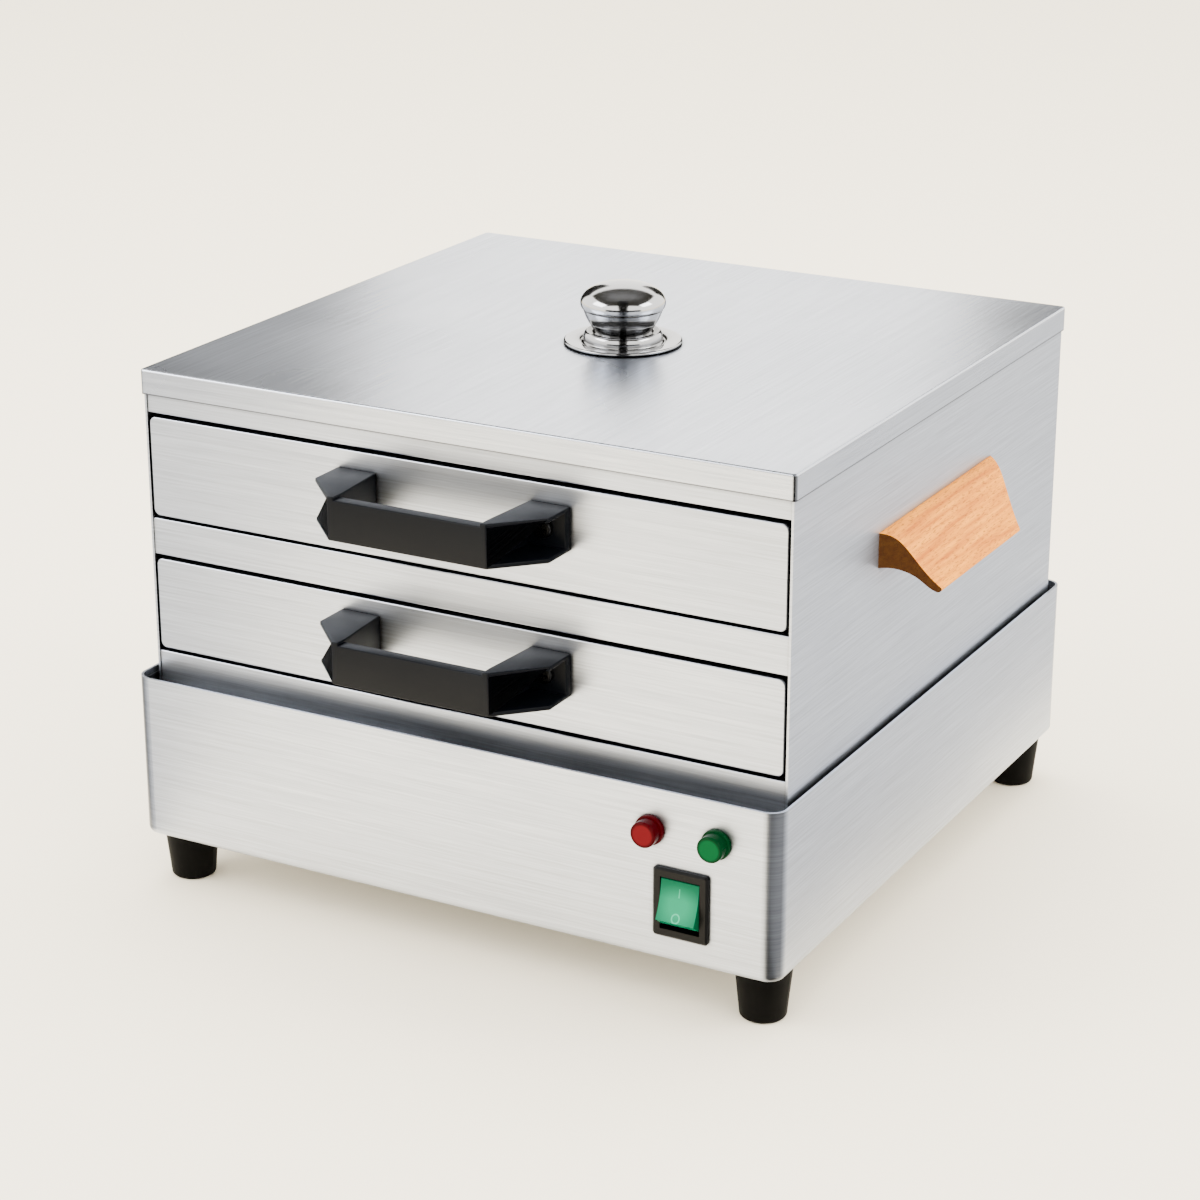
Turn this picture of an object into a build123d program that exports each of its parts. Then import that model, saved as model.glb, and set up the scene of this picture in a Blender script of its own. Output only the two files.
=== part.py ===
from build123d import *
import math
import os

# A rice roll steamer: base with water tank and heater, two-drawer steam box, lift-off lid.
# Millimetres. X is right, Y is back, Z is up, zero height is the table, and until the pieces
# are saved Y is measured from the middle of the steam box.

# Feet
foot_height = 24.0
foot_top_radius = 12.5
foot_bottom_radius = 10.0
foot_edge_radius = 2.0
foot_inset_x = 14.5
foot_inset_y = 18.0
foot_recess_radius = 5.0
foot_recess_depth = 11.0

# Base casing
base_side_gap = 2.3
base_front_gap = 12.6
base_back_gap = 9.4
base_wall_height = 76.6
base_corner_radius = 7.8
base_bottom_radius = 3.0
base_sheet = 1.2
base_flange_width = 34.0
cover_inset = 24.0
cover_sheet = 0.8
cover_screw_inset = 29.0
cover_screw_rows = 3
vent_length = 32.0
vent_width = 4.0
vent_pitch_x = 48.0
vent_pitch_y = 14.0
vent_columns = 3
vent_rows = 4
hatch_corner_radius = 6.0

# Water tank
ledge_drop = 8.6
ledge_side = 10.5
ledge_back = 20.0
electrics_room = 42.0
tank_depth = 40.0
tank_sheet = 0.8
tank_corner_radius = 18.0
tank_bottom_radius = 7.0
tank_upstand = 6.0
tank_wall_gap = 0.1

# Steam box
box_width = 313.6
box_depth = 293.6
box_height = 147.5
box_sheet = 1.0
box_flange = 10.0
rail_return = 12.0
rail_setback = 0.6
rail_edge_radius = 0.7
top_rail_height = 19.0
mid_rail_height = 17.1
bottom_rail_height = 17.2
front_gap = 1.6
side_gap = 1.0
plate_edge_gap = 0.4
plate_hole_radius = 6.0
plate_holes_x = 9
plate_holes_y = 8
plate_hole_pitch = 30.0

# Drawers and runners
drawer_front_height = 45.3
drawer_lower_height = 42.3
drawer_front_depth = 11.0
drawer_sheet = 0.8
drawer_corner_radius = 3.0
drawer_edge_radius = 0.6
tray_side_room = 12.0
tray_back_room = 8.0
tray_depth = 28.0
tray_rim_drop = 9.0
tray_rim_overhang = 9.6
tray_rim_back = 4.0
tray_corner_radius = 8.0
tray_bottom_radius = 5.0
slide_gap = 0.3
runner_sheet = 1.2
runner_shelf = 10.0
runner_guard = 8.0
runner_throat = 5.0
runner_start = 14.0
runner_end_room = 6.0

# Drawer handles
handle_height = 19.2
handle_reach = 36.5
handle_half_length = 56.5
handle_grip_half = 38.0
handle_flank = 17.5
handle_grip_thickness = 6.2
handle_inner_base = 37.5
handle_inner_grip = 35.0
handle_raise = 5.0
handle_skin = 2.0
handle_back_wall = 4.0
handle_screw_x = 46.5
handle_grip_step = 1.4

# Beech side grips
grip_length = 124.0
grip_tip_length = 90.0
grip_reach = 22.0
grip_top_z = 190.4
grip_wall_height = 15.4
grip_tip_drop = 27.6
grip_lip = 1.6
grip_shoulder_out = 9.2
grip_shoulder_drop = 6.9
grip_flank_out = 15.8
grip_flank_drop = 17.7
grip_under_out = 13.6
grip_under_rise = 6.7
grip_root_out = 6.6
grip_root_drop = 1.0
grip_screw_spacing = 70.0
grip_screw_length = 8.0
grip_screw_drop = 9.2

# Lid and knob
lid_sheet = 0.8
lid_skirt = 11.2
lid_clearance = 0.4
lid_corner_radius = 1.8
lid_edge_radius = 1.0
knob_offset_x = 6.0
knob_offset_y = -8.0
flange_radius = 26.7
flange_seat_radius = 13.6
flange_thickness = 0.9
flange_rim_rise = 0.7
collar_radius = 14.8
collar_height = 6.0
collar_ring_radius = 17.9
collar_ring_height = 1.7
collar_ring_lip = 0.6
knob_radius = 19.2
knob_neck_radius = 13.1
knob_seam_radius = 18.05
knob_seam_height = 16.9
knob_wide_height = 18.4
knob_dome = 9.5
knob_cone_swell = 0.5
knob_bore_depth = 12.0

# Switch
switch_x = 116.3
switch_z = 51.4
bezel_width = 25.6
bezel_height = 31.2
bezel_proud = 2.2
bezel_radius = 1.5
bezel_chamfer = 0.9
housing_width = 21.2
housing_height = 27.6
housing_depth = 17.0
window_width = 18.4
window_height = 23.6
window_depth = 9.2
rocker_side_gap = 0.4
rocker_pivot_depth = 4.0
rocker_tilt = 17.0
rocker_chord = 17.5
rocker_face_reach = 8.6
rocker_hollow = 1.1
rocker_bulge = 2.0
rocker_bulge_reach = 3.1
rocker_shoulder_depth = 0.5
rocker_root_half = 4.8
rocker_root_depth = 3.0
trunnion_radius = 1.5
trunnion_clearance = 0.05
panel_clearance = 0.2
tab_width = 6.3
tab_thickness = 0.8
tab_length = 8.5

# Lamps
lamp_middle_x = 116.7
lamp_spacing = 30.6
lamp_z = 82.3
lens_radius = 5.75
lens_proud = 7.4
lens_ring_radius = 6.6
lens_ring_thickness = 2.0
lens_ring_edge = 0.6
lens_edge_radius = 0.8
lamp_body_radius = 4.8
lamp_body_length = 20.0
lamp_nut_flats = 12.5
lamp_nut_height = 3.5

# Heating element
element_radius = 4.0
element_height = 16.0
element_leg_x = 30.0
element_half_width = 112.0
element_side_room = 24.0
element_bend = 20.0
element_stub = 13.0
terminal_pin_radius = 1.6
terminal_pin_length = 7.0
insulator_length = 2.5
bush_radius = 6.0
bush_clearance = 0.05
bush_length = 10.0
bush_flange_flats = 17.0
bush_flange_height = 3.0
seal_radius = 9.0
seal_thickness = 1.5
saddle_width = 14.0
saddle_thickness = 3.0
saddle_rows = 3

# Boil-dry cut-out
cutout_x = 70.0
cutout_y = -40.0
cutout_radius = 8.0
cutout_body = 9.0
cutout_ear_spacing = 24.0
cutout_ear_radius = 4.5
cutout_ear_thickness = 0.8
cutout_tab_spacing = 7.0
stud_radius = 1.5
stud_length = 6.0

# Terminal block
block_x = -30.0
block_length = 40.0
block_depth = 17.0
block_height = 16.0
block_way_radius = 2.0
block_way_pitch = 11.0
block_setback = 16.0

# Appliance inlet in the back wall
inlet_x = 90.0
inlet_z = 39.0
inlet_flange_width = 50.0
inlet_flange_height = 27.0
inlet_flange_thickness = 3.0
inlet_flange_radius = 4.0
inlet_body_width = 27.0
inlet_body_height = 19.6
inlet_body_depth = 16.0
inlet_socket_width = 24.0
inlet_socket_height = 16.2
inlet_socket_depth = 15.0
inlet_socket_radius = 2.0
inlet_pin_spacing = 14.0
inlet_pin_offset = 2.0
inlet_pin_height = 4.0
inlet_pin_width = 2.0
inlet_pin_short = 1.0
inlet_screw_spacing = 40.0
earth_x = 52.0
earth_setback = 17.0

# Fasteners and wire
screw_m3 = 1.5
screw_m4 = 2.0
screw_m3_length = 8.0
hole_clearance = 0.1
head_m3 = 2.8
head_m4 = 4.0
head_height_m3 = 1.8
head_height_m4 = 2.6
head_rounding = 0.45
cross_span = 1.1
cross_width = 0.24
cross_depth = 0.5
nut_m3_flats = 5.5
nut_m4_flats = 7.0
nut_m3_height = 2.4
nut_m4_height = 3.2
thread_end = 1.0
washer_m4_radius = 4.5
washer_thickness = 0.8
wire_radius = 1.3
lead_radius = 0.8
sleeve_length = 12.5
sleeve_wall = 0.6
sleeve_gap = 0.1
cut_margin = 1.0
wire_bend_share = 0.45
wire_straight = 24.0
wire_rear_run = 38.0
wire_bow = 14.0
wire_sag = 2.0
wire_lift = 5.0
wire_lane_gap = 9.0
lamp_return_drop = 4.0
lamp_return_side = 70.0
lamp_return_back = 16.0
lug_setback = 11.25
lug_barrel_length = 5.4

# Heights of the main levels
base_floor_z = foot_height
base_rim_z = base_floor_z + base_wall_height
ledge_z = base_rim_z - ledge_drop
box_top_z = ledge_z + box_height
lid_top_z = box_top_z + lid_sheet
tank_floor_z = ledge_z - tank_depth
flange_top_z = base_floor_z + base_sheet
tank_water_z = tank_floor_z + tank_sheet
element_z = tank_water_z + element_height

# Faces of the base and the box
box_half = box_width / 2
base_half = box_half + base_side_gap + base_sheet
box_inner = box_half - box_sheet
box_front = -box_depth / 2
box_back = box_depth / 2
base_front = box_front - base_front_gap - base_sheet
base_back = box_back + base_back_gap + base_sheet
panel_inner = base_front + base_sheet
rear_inner = base_back - base_sheet
tank_front = panel_inner + electrics_room
tank_back = rear_inner - ledge_back
tank_half = base_half - base_sheet - ledge_side
earth_y = rear_inner - earth_setback

# Front openings, from the top rail down
upper_front_top = box_top_z - top_rail_height - front_gap
upper_front_bottom = upper_front_top - drawer_front_height
mid_rail_top = upper_front_bottom - front_gap
mid_rail_bottom = mid_rail_top - mid_rail_height
lower_front_top = mid_rail_bottom - front_gap
lower_front_bottom = lower_front_top - drawer_lower_height
bottom_rail_top = ledge_z + bottom_rail_height

# The origin goes under the middle of the whole object, front to back
object_front = box_front - handle_reach
object_back = base_back + inlet_flange_thickness + head_height_m3
frame_shift_y = -(object_front + object_back) / 2

os.makedirs("parts", exist_ok=True)

right = Vector(1, 0, 0)
back = Vector(0, 1, 0)
up = Vector(0, 0, 1)


def block(x0, x1, y0, y1, z0, z1):
    """A plain block between two corners."""
    middle = Pos((x0 + x1) / 2, (y0 + y1) / 2, (z0 + z1) / 2)
    return middle * Box(abs(x1 - x0), abs(y1 - y0), abs(z1 - z0))


def rounded_block(x0, x1, y0, y1, z0, z1, radius):
    """A block whose upright corners are rounded."""
    outline = Pos((x0 + x1) / 2, (y0 + y1) / 2, z0) * RectangleRounded(x1 - x0, y1 - y0, radius)
    return extrude(outline, z1 - z0)


def upright_plate(x0, x1, z0, z1, y0, y1, radius):
    """A rounded plate that stands in the X-Z plane, from y0 back to y1."""
    plane = Plane(origin=((x0 + x1) / 2, y0, (z0 + z1) / 2), x_dir=(1, 0, 0), z_dir=(0, 1, 0))
    return extrude(plane * RectangleRounded(x1 - x0, z1 - z0, radius), y1 - y0)


def rod(start, direction, radius, length):
    """A round bar from a point along a direction."""
    return extrude(Plane(origin=start, z_dir=direction) * Circle(radius), length)


def hex_nut(start, direction, across_flats, height, bore):
    """A hexagon nut whose near face is at the start point."""
    outline = RegularPolygon(across_flats / 2, 6, major_radius=False) - Circle(bore)
    return extrude(Plane(origin=start, z_dir=direction) * outline, height)


def ring(start, direction, outer, inner, height):
    """A washer or collar whose near face is at the start point."""
    outline = Circle(outer) - Circle(inner)
    return extrude(Plane(origin=start, z_dir=direction) * outline, height)


def pan_screw(seat, direction, shank, length, head, head_height):
    """A cross-head screw: the seat is under its head and the shank runs along direction."""
    crown = rod(seat, -direction, head, head_height)
    top = crown.faces().sort_by(Axis(seat, -direction))[-1]
    crown = fillet(top.edges(), head_height * head_rounding)
    plane = Plane(origin=seat - direction * head_height, z_dir=direction)
    span, width = head * cross_span, head * cross_width
    cross = plane * (Rectangle(span, width) + Rectangle(width, span))
    crown = crown - extrude(cross, head_height * cross_depth)
    return crown + rod(seat, direction, shank, length)


def tab(start, direction):
    """A push-on tab, thin along X, that stands out from a point."""
    plane = Plane(origin=start, x_dir=(1, 0, 0), z_dir=direction)
    return extrude(plane * Rectangle(tab_thickness, tab_width), tab_length)


def sleeve(start, direction):
    """A push-on sleeve over the tab that stands at the same point."""
    plane = Plane(origin=start, x_dir=(1, 0, 0), z_dir=direction)
    outer = Rectangle(
        tab_thickness + 2 * (sleeve_wall + sleeve_gap), tab_width + 2 * (sleeve_wall + sleeve_gap)
    )
    slot = Rectangle(tab_thickness + 2 * sleeve_gap, tab_width + 2 * sleeve_gap)
    body = extrude(plane.offset(sleeve_gap) * outer, sleeve_length - sleeve_gap)
    return body - extrude(plane * slot, tab_length + sleeve_gap)


def wire(radius, *points):
    """A round wire along straight runs, with each bend as wide as its two runs allow."""
    points = [Vector(*p) for p in points]
    radii = []
    for before, at, after in zip(points, points[1:], points[2:]):
        turn = math.radians((at - before).get_angle(after - at))
        shorter = min((at - before).length, (after - at).length)
        radii.append(wire_bend_share * shorter / math.tan(turn / 2))
    path = FilletPolyline(*points, radius=radii)
    plane = Plane(origin=points[0], z_dir=points[1] - points[0])
    return sweep(plane * Circle(radius), path=path)


def save(name, *pieces):
    """Write one node, moved so that the origin is under the middle of the object."""
    node = Compound([solid for piece in pieces for solid in piece.solids()])
    export_step(Pos(0, frame_shift_y, 0) * node, f"parts/{name}.step")


# Base casing, cover, feet and their screws

foot_places = [
    (side * (base_half - foot_inset_x), y)
    for side in (-1, 1)
    for y in (base_front + foot_inset_y, base_back - foot_inset_y)
]
cover_rows = [
    base_front + cover_screw_inset
    + i * (base_back - base_front - 2 * cover_screw_inset) / (cover_screw_rows - 1)
    for i in range(cover_screw_rows)
]
cover_screw_places = [
    (side * (base_half - cover_screw_inset), y) for side in (-1, 1) for y in cover_rows
]


def make_base_shell():
    """Folded casing with an inward bottom flange and the cut-outs for its fittings."""
    outer = rounded_block(
        -base_half, base_half, base_front, base_back, base_floor_z, base_rim_z, base_corner_radius
    )
    outer = fillet(outer.faces().sort_by(Axis.Z)[0].edges(), base_bottom_radius)
    room = rounded_block(
        -base_half + base_sheet, base_half - base_sheet, panel_inner, rear_inner,
        flange_top_z, base_rim_z + cut_margin, base_corner_radius - base_sheet,
    )
    room = fillet(room.faces().sort_by(Axis.Z)[0].edges(), base_bottom_radius - base_sheet)
    hatch = rounded_block(
        -base_half + base_flange_width, base_half - base_flange_width,
        base_front + base_flange_width, base_back - base_flange_width,
        base_floor_z - cut_margin, flange_top_z + cut_margin, hatch_corner_radius,
    )
    shell = outer - room - hatch
    shell -= block(
        switch_x - housing_width / 2 - panel_clearance,
        switch_x + housing_width / 2 + panel_clearance,
        base_front - cut_margin, panel_inner + cut_margin,
        switch_z - housing_height / 2 - panel_clearance,
        switch_z + housing_height / 2 + panel_clearance,
    )
    for side in (-1, 1):
        x = lamp_middle_x + side * lamp_spacing / 2
        shell -= rod(
            (x, base_front - cut_margin, lamp_z), back,
            lamp_body_radius + hole_clearance, base_sheet + 2 * cut_margin,
        )
        x = inlet_x + side * inlet_screw_spacing / 2
        shell -= rod(
            (x, rear_inner - cut_margin, inlet_z), back,
            screw_m3 + hole_clearance, base_sheet + 2 * cut_margin,
        )
    shell -= block(
        inlet_x - inlet_body_width / 2 - panel_clearance,
        inlet_x + inlet_body_width / 2 + panel_clearance,
        rear_inner - cut_margin, base_back + cut_margin,
        inlet_z - inlet_body_height / 2 - panel_clearance,
        inlet_z + inlet_body_height / 2 + panel_clearance,
    )
    for x, y in foot_places:
        shell -= rod(
            (x, y, base_floor_z - cut_margin), up,
            screw_m4 + hole_clearance, base_sheet + 2 * cut_margin,
        )
    for x, y in cover_screw_places:
        shell -= rod(
            (x, y, base_floor_z - cut_margin), up,
            screw_m3 + hole_clearance, base_sheet + 2 * cut_margin,
        )
    return shell + rod(
        (earth_x, earth_y, flange_top_z), up, screw_m4, 3 * nut_m4_height + thread_end
    )


def make_bottom_cover():
    """Flat cover under the casing, with rows of vent slots."""
    cover = rounded_block(
        -base_half + cover_inset, base_half - cover_inset,
        base_front + cover_inset, base_back - cover_inset,
        base_floor_z - cover_sheet, base_floor_z, hatch_corner_radius,
    )
    for x, y in cover_screw_places:
        cover -= rod(
            (x, y, base_floor_z - cover_sheet - cut_margin), up,
            screw_m3 + hole_clearance, cover_sheet + 2 * cut_margin,
        )
    middle_y = (base_front + base_back) / 2
    slot = extrude(SlotOverall(vent_length, vent_width), cover_sheet + 2 * cut_margin)
    for i in range(vent_columns):
        for j in range(vent_rows):
            x = (i - (vent_columns - 1) / 2) * vent_pitch_x
            y = middle_y + (j - (vent_rows - 1) / 2) * vent_pitch_y
            cover -= Pos(x, y, base_floor_z - cover_sheet - cut_margin) * slot
    return cover


def make_foot(x, y):
    """Tapered rubber foot with a recess for its screw."""
    foot = Pos(x, y, foot_height / 2) * Cone(foot_bottom_radius, foot_top_radius, foot_height)
    foot = fillet(foot.faces().sort_by(Axis.Z)[0].edges(), foot_edge_radius)
    foot -= rod((x, y, -cut_margin), up, foot_recess_radius, foot_recess_depth + cut_margin)
    return foot - rod((x, y, 0), up, screw_m4 + hole_clearance, foot_height + cut_margin)


save("base_shell", make_base_shell())
save("bottom_cover", make_bottom_cover())
save("feet", *[make_foot(x, y) for x, y in foot_places])

foot_screw_length = foot_height - foot_recess_depth + base_sheet + nut_m4_height + thread_end
save("foot_screws", *[
    pan_screw(
        Vector(x, y, foot_recess_depth), up, screw_m4, foot_screw_length, head_m4, head_height_m4
    )
    for x, y in foot_places
])
m4_nut_seats = [(x, y, flange_top_z) for x, y in foot_places]
m3_screws = [
    pan_screw(
        Vector(x, y, base_floor_z - cover_sheet), up,
        screw_m3, screw_m3_length, head_m3, head_height_m3,
    )
    for x, y in cover_screw_places
]

# Water tank, hung from its ledge inside the casing

cutout_stud_places = [
    (cutout_x + side * cutout_ear_spacing / 2, cutout_y) for side in (-1, 1)
]


def make_water_tank():
    """Pressed tub with a wide ledge, an upstand against the casing and two weld studs."""
    outer_half = base_half - base_sheet - tank_wall_gap
    outer_front = panel_inner + tank_wall_gap
    outer_back = rear_inner - tank_wall_gap
    outer_radius = base_corner_radius - base_sheet - tank_wall_gap
    tray = rounded_block(
        -outer_half, outer_half, outer_front, outer_back,
        ledge_z - tank_sheet, ledge_z + tank_upstand, outer_radius,
    )
    tray -= rounded_block(
        -outer_half + tank_sheet, outer_half - tank_sheet,
        outer_front + tank_sheet, outer_back - tank_sheet,
        ledge_z, ledge_z + tank_upstand + cut_margin, outer_radius - tank_sheet,
    )
    tub = rounded_block(
        -tank_half, tank_half, tank_front, tank_back, tank_floor_z, ledge_z, tank_corner_radius
    )
    tub = fillet(tub.faces().sort_by(Axis.Z)[0].edges(), tank_bottom_radius)
    water = rounded_block(
        -tank_half + tank_sheet, tank_half - tank_sheet,
        tank_front + tank_sheet, tank_back - tank_sheet,
        tank_water_z, ledge_z + cut_margin, tank_corner_radius - tank_sheet,
    )
    water = fillet(water.faces().sort_by(Axis.Z)[0].edges(), tank_bottom_radius - tank_sheet)
    tank = tray + tub - water
    for side in (-1, 1):
        tank -= rod(
            (side * element_leg_x, tank_front - cut_margin, element_z), back,
            bush_radius + hole_clearance, tank_sheet + 2 * cut_margin,
        )
    for x, y in cutout_stud_places:
        tank += rod((x, y, tank_floor_z), -up, stud_radius, stud_length)
    return tank


save("water_tank", make_water_tank())

# Heating element with its bushes, seals and nuts through the front wall of the tank

tank_front_inner = tank_front + tank_sheet
element_near = tank_front_inner + element_side_room
element_far = tank_back - tank_sheet - element_side_room
element_end = tank_front - element_stub


def make_element():
    """Tubular heater: one wide loop that lies level above the tank floor."""
    corners = [
        (-element_leg_x, element_end), (-element_leg_x, element_near),
        (-element_half_width, element_near), (-element_half_width, element_far),
        (element_half_width, element_far), (element_half_width, element_near),
        (element_leg_x, element_near), (element_leg_x, element_end),
    ]
    path = FilletPolyline(*[(x, y, element_z) for x, y in corners], radius=element_bend)
    start = Plane(origin=(-element_leg_x, element_end, element_z), z_dir=(0, 1, 0))
    return sweep(start * Circle(element_radius), path=path)


def make_bush(x):
    """Threaded brass bush on one leg of the element, its flange inside the tank."""
    bore = element_radius + bush_clearance
    flange_start = tank_front_inner + seal_thickness
    thread_start = tank_front - bush_length
    bush = ring(
        (x, thread_start, element_z), back, bush_radius, bore, flange_start - thread_start
    )
    return bush + hex_nut(
        (x, flange_start, element_z), back, bush_flange_flats, bush_flange_height, bore
    )


element_legs = [-element_leg_x, element_leg_x]
element = make_element()
save("heating_element", element)
save("element_bushes", *[make_bush(x) for x in element_legs])
save("element_seals", *[
    ring(
        (x, tank_front_inner, element_z), back, seal_radius,
        bush_radius + bush_clearance, seal_thickness,
    )
    for x in element_legs
])
save("element_nuts", *[
    hex_nut(
        (x, tank_front, element_z), -back, bush_flange_flats, bush_flange_height,
        bush_radius + bush_clearance,
    )
    for x in element_legs
])
save("element_terminals", *[
    ring(
        (x, element_end, element_z), -back, element_radius, terminal_pin_radius, insulator_length
    ) + rod(
        (x, element_end, element_z), -back,
        terminal_pin_radius, insulator_length + terminal_pin_length,
    )
    for x in element_legs
])


def make_saddle(y):
    """Small stand welded to the tank floor, hollowed to hold one cross run of the element."""
    x0 = element_half_width - saddle_width / 2
    x1 = element_half_width + saddle_width / 2
    post = block(
        x0, x1, y - saddle_thickness / 2, y + saddle_thickness / 2, tank_water_z, element_z
    )
    seat = rod(
        (element_half_width, y - saddle_thickness, element_z), back,
        element_radius + bush_clearance, 2 * saddle_thickness,
    )
    return post - seat


saddle_rise = (element_far - element_near) / (saddle_rows + 1)
saddles = []
for row in range(saddle_rows):
    saddle = make_saddle(element_near + (row + 1) * saddle_rise)
    saddles += [saddle, saddle.mirror(Plane.YZ)]
save("element_saddles", *saddles)

# Boil-dry cut-out under the tank floor


def make_cutout():
    """Round boil-dry cut-out with two ears against the underside of the tank."""
    ears = Pos(cutout_x, cutout_y, tank_floor_z - cutout_ear_thickness) * SlotCenterToCenter(
        cutout_ear_spacing, 2 * cutout_ear_radius
    )
    cutout = extrude(ears, cutout_ear_thickness)
    for x, y in cutout_stud_places:
        cutout -= rod(
            (x, y, tank_floor_z - cutout_ear_thickness - cut_margin), up,
            stud_radius + hole_clearance, cutout_ear_thickness + 2 * cut_margin,
        )
    cutout += rod(
        (cutout_x, cutout_y, tank_floor_z - cutout_ear_thickness), -up, cutout_radius, cutout_body
    )
    return cutout


cutout_tab_roots = [
    Vector(
        cutout_x + side * cutout_tab_spacing / 2, cutout_y - cutout_radius,
        tank_floor_z - cutout_ear_thickness - cutout_body / 2,
    )
    for side in (-1, 1)
]
cutout = make_cutout()
for root in cutout_tab_roots:
    cutout += tab(root, -back)
    cutout += block(
        root.X - tab_thickness / 2, root.X + tab_thickness / 2, root.Y, cutout_y,
        root.Z - tab_width / 2, root.Z + tab_width / 2,
    )
save("boil_dry_cutout", cutout)
m3_nuts = [
    hex_nut(
        (x, y, tank_floor_z - cutout_ear_thickness), -up,
        nut_m3_flats, nut_m3_height, stud_radius + hole_clearance,
    )
    for x, y in cutout_stud_places
]

# Rocker switch

pivot_y = base_front + rocker_pivot_depth


def make_switch_body():
    """Black moulded switch housing with its bezel, an open window and trunnion bores."""
    bezel = upright_plate(
        switch_x - bezel_width / 2, switch_x + bezel_width / 2,
        switch_z - bezel_height / 2, switch_z + bezel_height / 2,
        base_front - bezel_proud, base_front, bezel_radius,
    )
    bezel = chamfer(bezel.faces().sort_by(Axis.Y)[0].edges(), bezel_chamfer)
    housing = block(
        switch_x - housing_width / 2, switch_x + housing_width / 2,
        base_front, base_front + housing_depth,
        switch_z - housing_height / 2, switch_z + housing_height / 2,
    )
    window = block(
        switch_x - window_width / 2, switch_x + window_width / 2,
        base_front - bezel_proud - cut_margin, base_front + window_depth,
        switch_z - window_height / 2, switch_z + window_height / 2,
    )
    bores = rod(
        (switch_x - housing_width, pivot_y, switch_z), right,
        trunnion_radius + trunnion_clearance, 2 * housing_width,
    )
    return bezel + housing - window - bores


def make_rocker():
    """Translucent rocker with a hollow face, tilted so that its top is pressed in."""
    half = rocker_chord / 2
    reach = rocker_face_reach
    face = ThreePointArc((-reach, half), (rocker_hollow - reach, 0), (-reach, -half))
    rest_of_outline = Polyline(
        (-reach, -half), (-rocker_bulge_reach, -half - rocker_bulge),
        (rocker_shoulder_depth, -half), (rocker_root_depth, -rocker_root_half),
        (rocker_root_depth, rocker_root_half), (rocker_shoulder_depth, half),
        (-rocker_bulge_reach, half + rocker_bulge), (-reach, half),
    )
    outline = make_face(Curve([face, rest_of_outline]))
    width = window_width - 2 * rocker_side_gap
    plane = Plane(
        origin=(switch_x - width / 2, pivot_y, switch_z), x_dir=(0, 1, 0), z_dir=(1, 0, 0)
    )
    rocker = extrude(plane * outline, width)
    trunnion_span = housing_width - rocker_side_gap
    rocker += rod(
        (switch_x - trunnion_span / 2, pivot_y, switch_z), right, trunnion_radius, trunnion_span
    )
    return rocker.rotate(Axis((switch_x, pivot_y, switch_z), (1, 0, 0)), -rocker_tilt)


switch_tab_roots = [
    Vector(
        switch_x + sx * housing_width / 4, base_front + housing_depth,
        switch_z + sz * housing_height / 4,
    )
    for sx in (-1, 1)
    for sz in (-1, 1)
]


save("switch_body", make_switch_body())
save("switch_rocker", make_rocker())
save("switch_terminals", *[tab(root, back) for root in switch_tab_roots])

# Lamps


def make_lens(x):
    """Translucent push-fit lens: a ring on the panel and a slightly domed cap."""
    y = base_front
    lens = rod((x, y, lamp_z), -back, lens_ring_radius, lens_ring_thickness)
    lens = fillet(lens.faces().sort_by(Axis.Y)[0].edges(), lens_ring_edge)
    cap = rod((x, y, lamp_z), -back, lens_radius, lens_proud)
    cap = fillet(cap.faces().sort_by(Axis.Y)[0].edges(), lens_edge_radius)
    return lens + cap


lamp_places = [lamp_middle_x - lamp_spacing / 2, lamp_middle_x + lamp_spacing / 2]
lamp_back_y = base_front + lamp_body_length
save("red_lamp_lens", make_lens(lamp_places[0]))
save("green_lamp_lens", make_lens(lamp_places[1]))
save("lamp_bodies", *[
    rod((x, base_front, lamp_z), back, lamp_body_radius, lamp_body_length) for x in lamp_places
])
save("lamp_nuts", *[
    hex_nut(
        (x, panel_inner, lamp_z), back, lamp_nut_flats, lamp_nut_height,
        lamp_body_radius + hole_clearance,
    )
    for x in lamp_places
])

# Terminal block on the bottom flange, behind the front wall

block_y0 = panel_inner + block_setback
block_y1 = block_y0 + block_depth
block_way_z = flange_top_z + block_height / 2
block_ways = [block_x + i * block_way_pitch for i in (-1, 0, 1)]


def make_terminal_block():
    """Moulded three-way terminal block."""
    body = block(
        block_x - block_length / 2, block_x + block_length / 2, block_y0, block_y1,
        flange_top_z, flange_top_z + block_height,
    )
    for x in block_ways:
        body -= rod(
            (x, block_y0 - cut_margin, block_way_z), back, block_way_radius,
            block_depth + 2 * cut_margin,
        )
        body -= rod(
            (x, (block_y0 + block_y1) / 2, block_way_z), up, screw_m3 + hole_clearance,
            block_height,
        )
    return body


save("terminal_block", make_terminal_block())
save("terminal_screws", *[
    pan_screw(
        Vector(x, (block_y0 + block_y1) / 2, flange_top_z + block_height), -up,
        screw_m3, block_height / 2 - block_way_radius, head_m3, head_height_m3,
    )
    for x in block_ways
])

# Appliance inlet in the back wall, and the nuts of the earth stud beside it


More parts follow.
